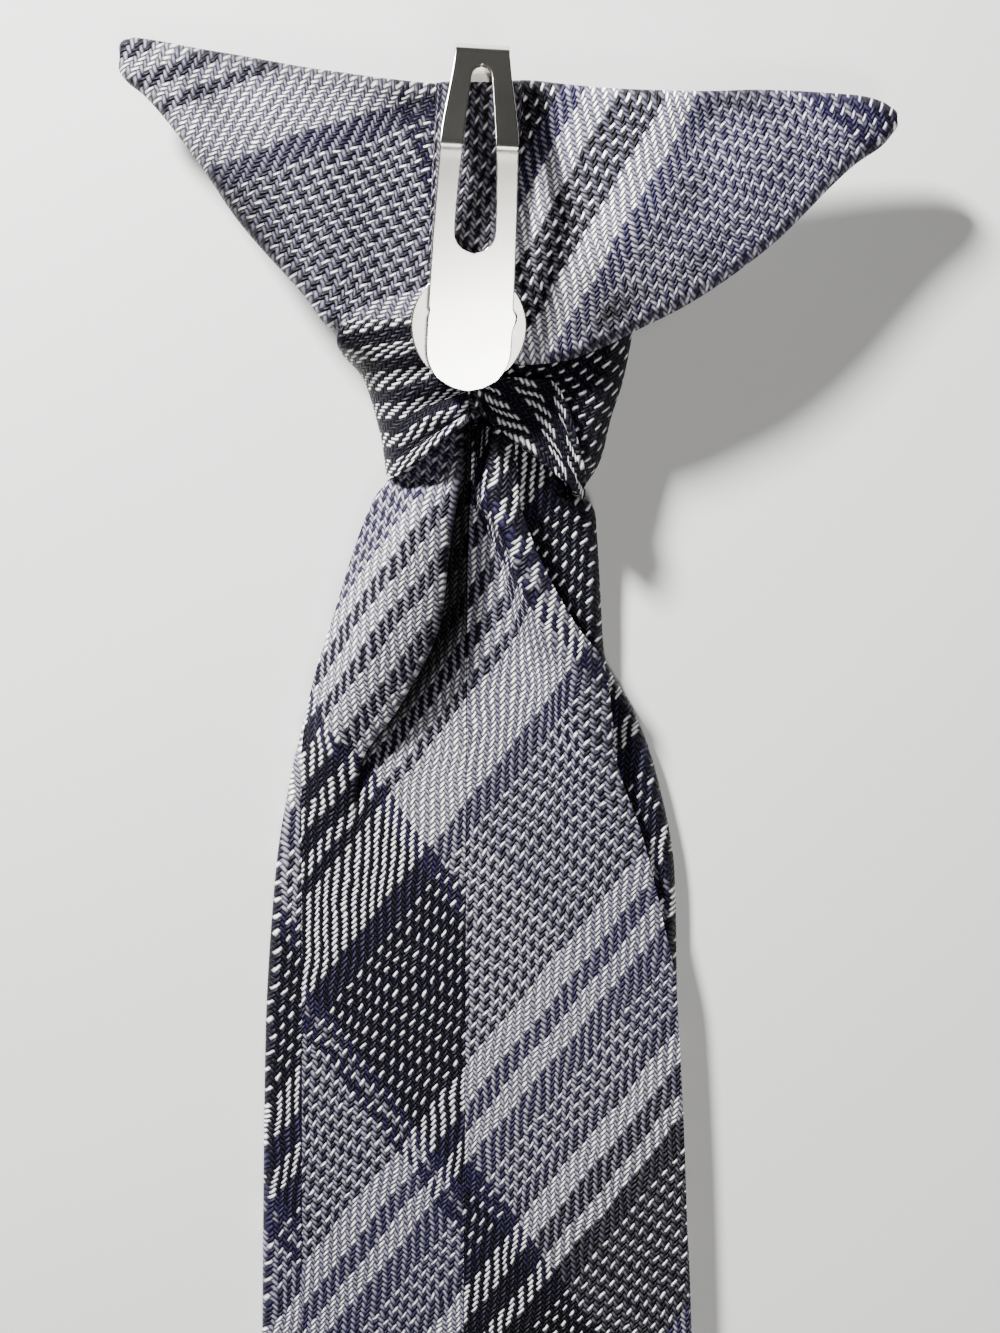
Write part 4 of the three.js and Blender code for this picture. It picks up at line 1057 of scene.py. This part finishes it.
def clip_rows(cloth, knot, wing, clip):
    """The clip's strip from the arm's round end over the bend to the disc: for each row its two half widths,
    of the strip and of the slot, its place along the tie, its height, and how far it is into a round end."""
    _, leg_low, leg_top = levels(cloth, knot, wing, clip)
    top = knot.rise + BEND_ABOVE_KNOT
    end = top - clip.arm_length
    end_radius = clip.end_width / 2
    leg_mid = leg_low + clip.wall / 2
    touch = leg_top + ARM_ROOM + clip.wall / 2
    crease = top - CREASE_FROM_BEND
    crease_level = touch + CREASE_RISE
    disc_centre = end + DISC_FROM_END
    disc_radius = clip.disc / 2
    bend_centre = top - BEND_RADIUS - clip.wall / 2
    bend_start = (bend_centre + BEND_RADIUS * math.cos(BEND_TANGENT),
                  leg_mid + BEND_RADIUS * (1 + math.sin(BEND_TANGENT)))
    slot_low = end + SLOT_FROM_END
    slot_radius = clip.slot_width / 2
    slot_high = top - SLOT_FROM_BEND
    slot_tip = clip.slot_top_width / 2
    slot_side = slot_low + slot_radius

    def arm_level(y):
        low_side = lerp(touch, crease_level, (y - end) / (crease - end))
        high_side = lerp(crease_level, bend_start[1], (y - crease) / (bend_start[0] - crease))
        return lerp(low_side, high_side, smoothstep(y, crease - CREASE_ROUND, crease + CREASE_ROUND))

    def arm_half(y):
        along = (end + end_radius, crease, top)
        return smooth_through(along, (end_radius, end_radius * 0.90, clip.bend_width / 2), y)

    def arc(radius, off):
        return math.sqrt(max(radius ** 2 - off ** 2, 0.0))

    def slot_half(y):
        if y < slot_side:
            return arc(slot_radius, y - slot_low - slot_radius)
        if y > slot_high - slot_tip:
            return arc(slot_tip, y - slot_high + slot_tip)
        up = clamp((y - slot_low - slot_radius) / (slot_high - slot_low - 3), 0, 1)
        return lerp(slot_radius, slot_tip, up ** 1.6)

    rows = [(end_radius, 0.0, end + end_radius, None, -share) for share in reversed(ROUNDING)]
    spots = [end + end_radius + k for k in (0.7, 2.0, 3.2, 3.8, 4.4, 5.6, 7.4)] + [slot_low - 0.4]
    spots += [slot_low + slot_radius * (1 - math.cos(math.radians(turn)))
              for turn in (0, 14, 32, 50, 70, 90)]
    spots += [lerp(slot_side, crease - 1.2, k / 4) for k in (1, 2, 3, 4)]
    spots += [crease + k for k in (-0.6, 0.0, 0.6, 1.4, 3.0, 5.0)] + [slot_high - slot_tip - 0.6]
    spots += [slot_high - slot_tip * (1 - math.sin(math.radians(turn))) for turn in (0, 30, 60, 90)]
    spots += [slot_high + 0.35]
    rows += [(arm_half(y), slot_half(y), y, arm_level(y), 0.0) for y in spots]
    for k in range(13):
        turn = lerp(BEND_TANGENT, -math.pi / 2, k / 12)
        half = lerp(clip.bend_width / 2, clip.leg_width / 2, k / 12)
        rows.append((half, 0.0, bend_centre + BEND_RADIUS * math.cos(turn),
                     leg_mid + BEND_RADIUS * (1 + math.sin(turn)), 0.0))
    neck = disc_centre + arc(disc_radius, clip.leg_width / 2)
    rows += [(clip.leg_width / 2, 0.0, lerp(bend_centre, neck, k / 4), leg_mid, 0.0) for k in (1, 2, 3)]
    for k in range(8):
        y = lerp(neck, disc_centre, k / 8)
        rows.append((arc(disc_radius, y - disc_centre), 0.0, y, leg_mid, 0.0))
    rows += [(disc_radius, 0.0, disc_centre, leg_mid, -share) for share in ROUNDING]
    return rows, arm_level


def make_clip(cloth, knot, wing, clip):
    """The strip as one grid: ten corners across, of which the middle two border the slot."""
    rows, arm_level = clip_rows(cloth, knot, wing, clip)
    steps = len(rows) - 1
    bm = bmesh.new()
    grid = add_grid(bm, 9, steps)
    for (i, j), vert in grid.items():
        half, slot, y, z, into = rows[j]
        k = i if i < 5 else 9 - i
        inner = slot + (STRIP_RIM if k == 3 else 0.0)
        across = (half, half - STRIP_RIM, lerp(half - STRIP_RIM, slot + STRIP_RIM, 0.5), inner, slot)[k]
        x = across * (-1 if i < 5 else 1)
        if into:
            share = x / half
            x = half * share * math.sqrt(1 - into ** 2 / 2)
            y += half * into * math.sqrt(1 - share ** 2 / 2)
        if z is None:
            z = arm_level(y)
        for corner, low, high, shift in NIBS:
            if i == corner and low < y < high and j < NIB_ROWS:
                x += shift
        vert.co = Vector((x * math.cos(CLIP_TURN) + y * math.sin(CLIP_TURN) + CLIP_CENTRE,
                          -x * math.sin(CLIP_TURN) + y * math.cos(CLIP_TURN), z)) * MM
    open_faces = []
    for j in range(steps):
        if rows[j][1] > 0.0 or rows[j + 1][1] > 0.0:
            corners = {grid[4, j], grid[5, j], grid[4, j + 1], grid[5, j + 1]}
            open_faces += [face for face in grid[4, j].link_faces if set(face.verts) == corners]
    bmesh.ops.delete(bm, geom=open_faces, context="FACES_ONLY")
    bmesh.ops.remove_doubles(bm, verts=bm.verts[:], dist=1e-6)
    piece = finish_mesh(bm, "steel_clip")
    thicken(piece, clip.wall, sharpness=0.75, levels=2)
    return piece


class TIE_OT_clip(bpy.types.Operator):
    """Makes the clip from one strip of plated steel"""
    bl_idname = "tie.clip"
    bl_label = "Clip"

    def execute(self, context):
        cloth, knot, wing, _, clip = sizes()
        piece = make_clip(cloth, knot, wing, clip)
        piece.data.materials.append(steel_material(context.scene.tie_clip))
        put_on(piece, "clip")
        return {"FINISHED"}


def add_light(name, place, target, size, power):
    lamp = bpy.data.lights.new(name, "AREA")
    lamp.shape = "DISK"
    lamp.size = size
    lamp.energy = power
    thing = bpy.data.objects.new(name, lamp)
    thing.location = place
    thing.rotation_euler = (Vector(target) - Vector(place)).to_track_quat("-Z", "Y").to_euler()
    bpy.context.scene.collection.objects.link(thing)


def add_camera():
    camera = bpy.data.cameras.new("camera")
    camera.sensor_fit = "VERTICAL"
    camera.sensor_height = SENSOR_HEIGHT
    camera.lens = FOCAL_SHARE * SENSOR_HEIGHT
    camera.clip_start = 0.01
    thing = bpy.data.objects.new("camera", camera)
    outward = (CAMERA_PLACE - CAMERA_TARGET).normalized()
    across = (Vector((1, 0, 0)) - outward * outward.x).normalized()
    turned = Matrix((across, outward.cross(across), outward)).transposed().to_4x4()
    turned.translation = CAMERA_PLACE
    thing.matrix_world = turned
    bpy.context.scene.collection.objects.link(thing)
    bpy.context.scene.camera = thing


class TIE_OT_stage(bpy.types.Operator):
    """Makes the floor, the lights and the camera"""
    bl_idname = "tie.stage"
    bl_label = "Stage"

    def execute(self, context):
        settings = context.scene.tie_stage
        bm = bmesh.new()
        bmesh.ops.create_grid(bm, x_segments=1, y_segments=1, size=FLOOR_SIZE)
        floor = finish_mesh(bm, "floor")
        material, nodes, shader = new_material("floor_paper")
        nodes.fill(shader, {"Base Color": rgba(settings.floor), "Roughness": 0.85})
        floor.data.materials.append(material)
        for name, place, target, size in LIGHTS:
            add_light(name, place, target, size, getattr(settings, name + "_power"))
        world = bpy.data.worlds.new("studio")
        world.use_nodes = True
        back = world.node_tree.nodes["Background"]
        back.inputs["Color"].default_value = WORLD_COLOUR
        back.inputs["Strength"].default_value = WORLD_STRENGTH
        context.scene.world = world
        add_camera()
        return {"FINISHED"}


class TIE_PT_panel(bpy.types.Panel):
    """Lists the steps that make the tie"""
    bl_label = "Clip on tie"
    bl_idname = "TIE_PT_panel"
    bl_space_type = "VIEW_3D"
    bl_region_type = "UI"
    bl_category = "Tie"

    def draw(self, context):
        for operator in OPERATORS:
            self.layout.operator(operator.bl_idname)
        for name in SETTINGS:
            box = self.layout.box()
            group = getattr(context.scene, name)
            for value in group.__annotations__:
                box.prop(group, value)


OPERATORS = (TIE_OT_stage, TIE_OT_knot_sleeve, TIE_OT_wings, TIE_OT_wraps, TIE_OT_clip, TIE_OT_blade)
SETTINGS = {
    "tie_cloth": ClothSettings,
    "tie_knot": KnotSettings,
    "tie_wing": WingSettings,
    "tie_blade": BladeSettings,
    "tie_clip": ClipSettings,
    "tie_stage": StageSettings,
}


def register():
    for group in SETTINGS.values():
        bpy.utils.register_class(group)
    for name, group in SETTINGS.items():
        setattr(bpy.types.Scene, name, PointerProperty(type=group))
    for operator in OPERATORS:
        bpy.utils.register_class(operator)
    bpy.utils.register_class(TIE_PT_panel)


def unregister():
    bpy.utils.unregister_class(TIE_PT_panel)
    for operator in OPERATORS:
        bpy.utils.unregister_class(operator)
    for name in SETTINGS:
        delattr(bpy.types.Scene, name)
    for group in SETTINGS.values():
        bpy.utils.unregister_class(group)


def main():
    register()
    for operator in OPERATORS:
        step = operator.bl_idname.split(".")[1]
        getattr(bpy.ops.tie, step)()


if __name__ == "__main__":
    main()
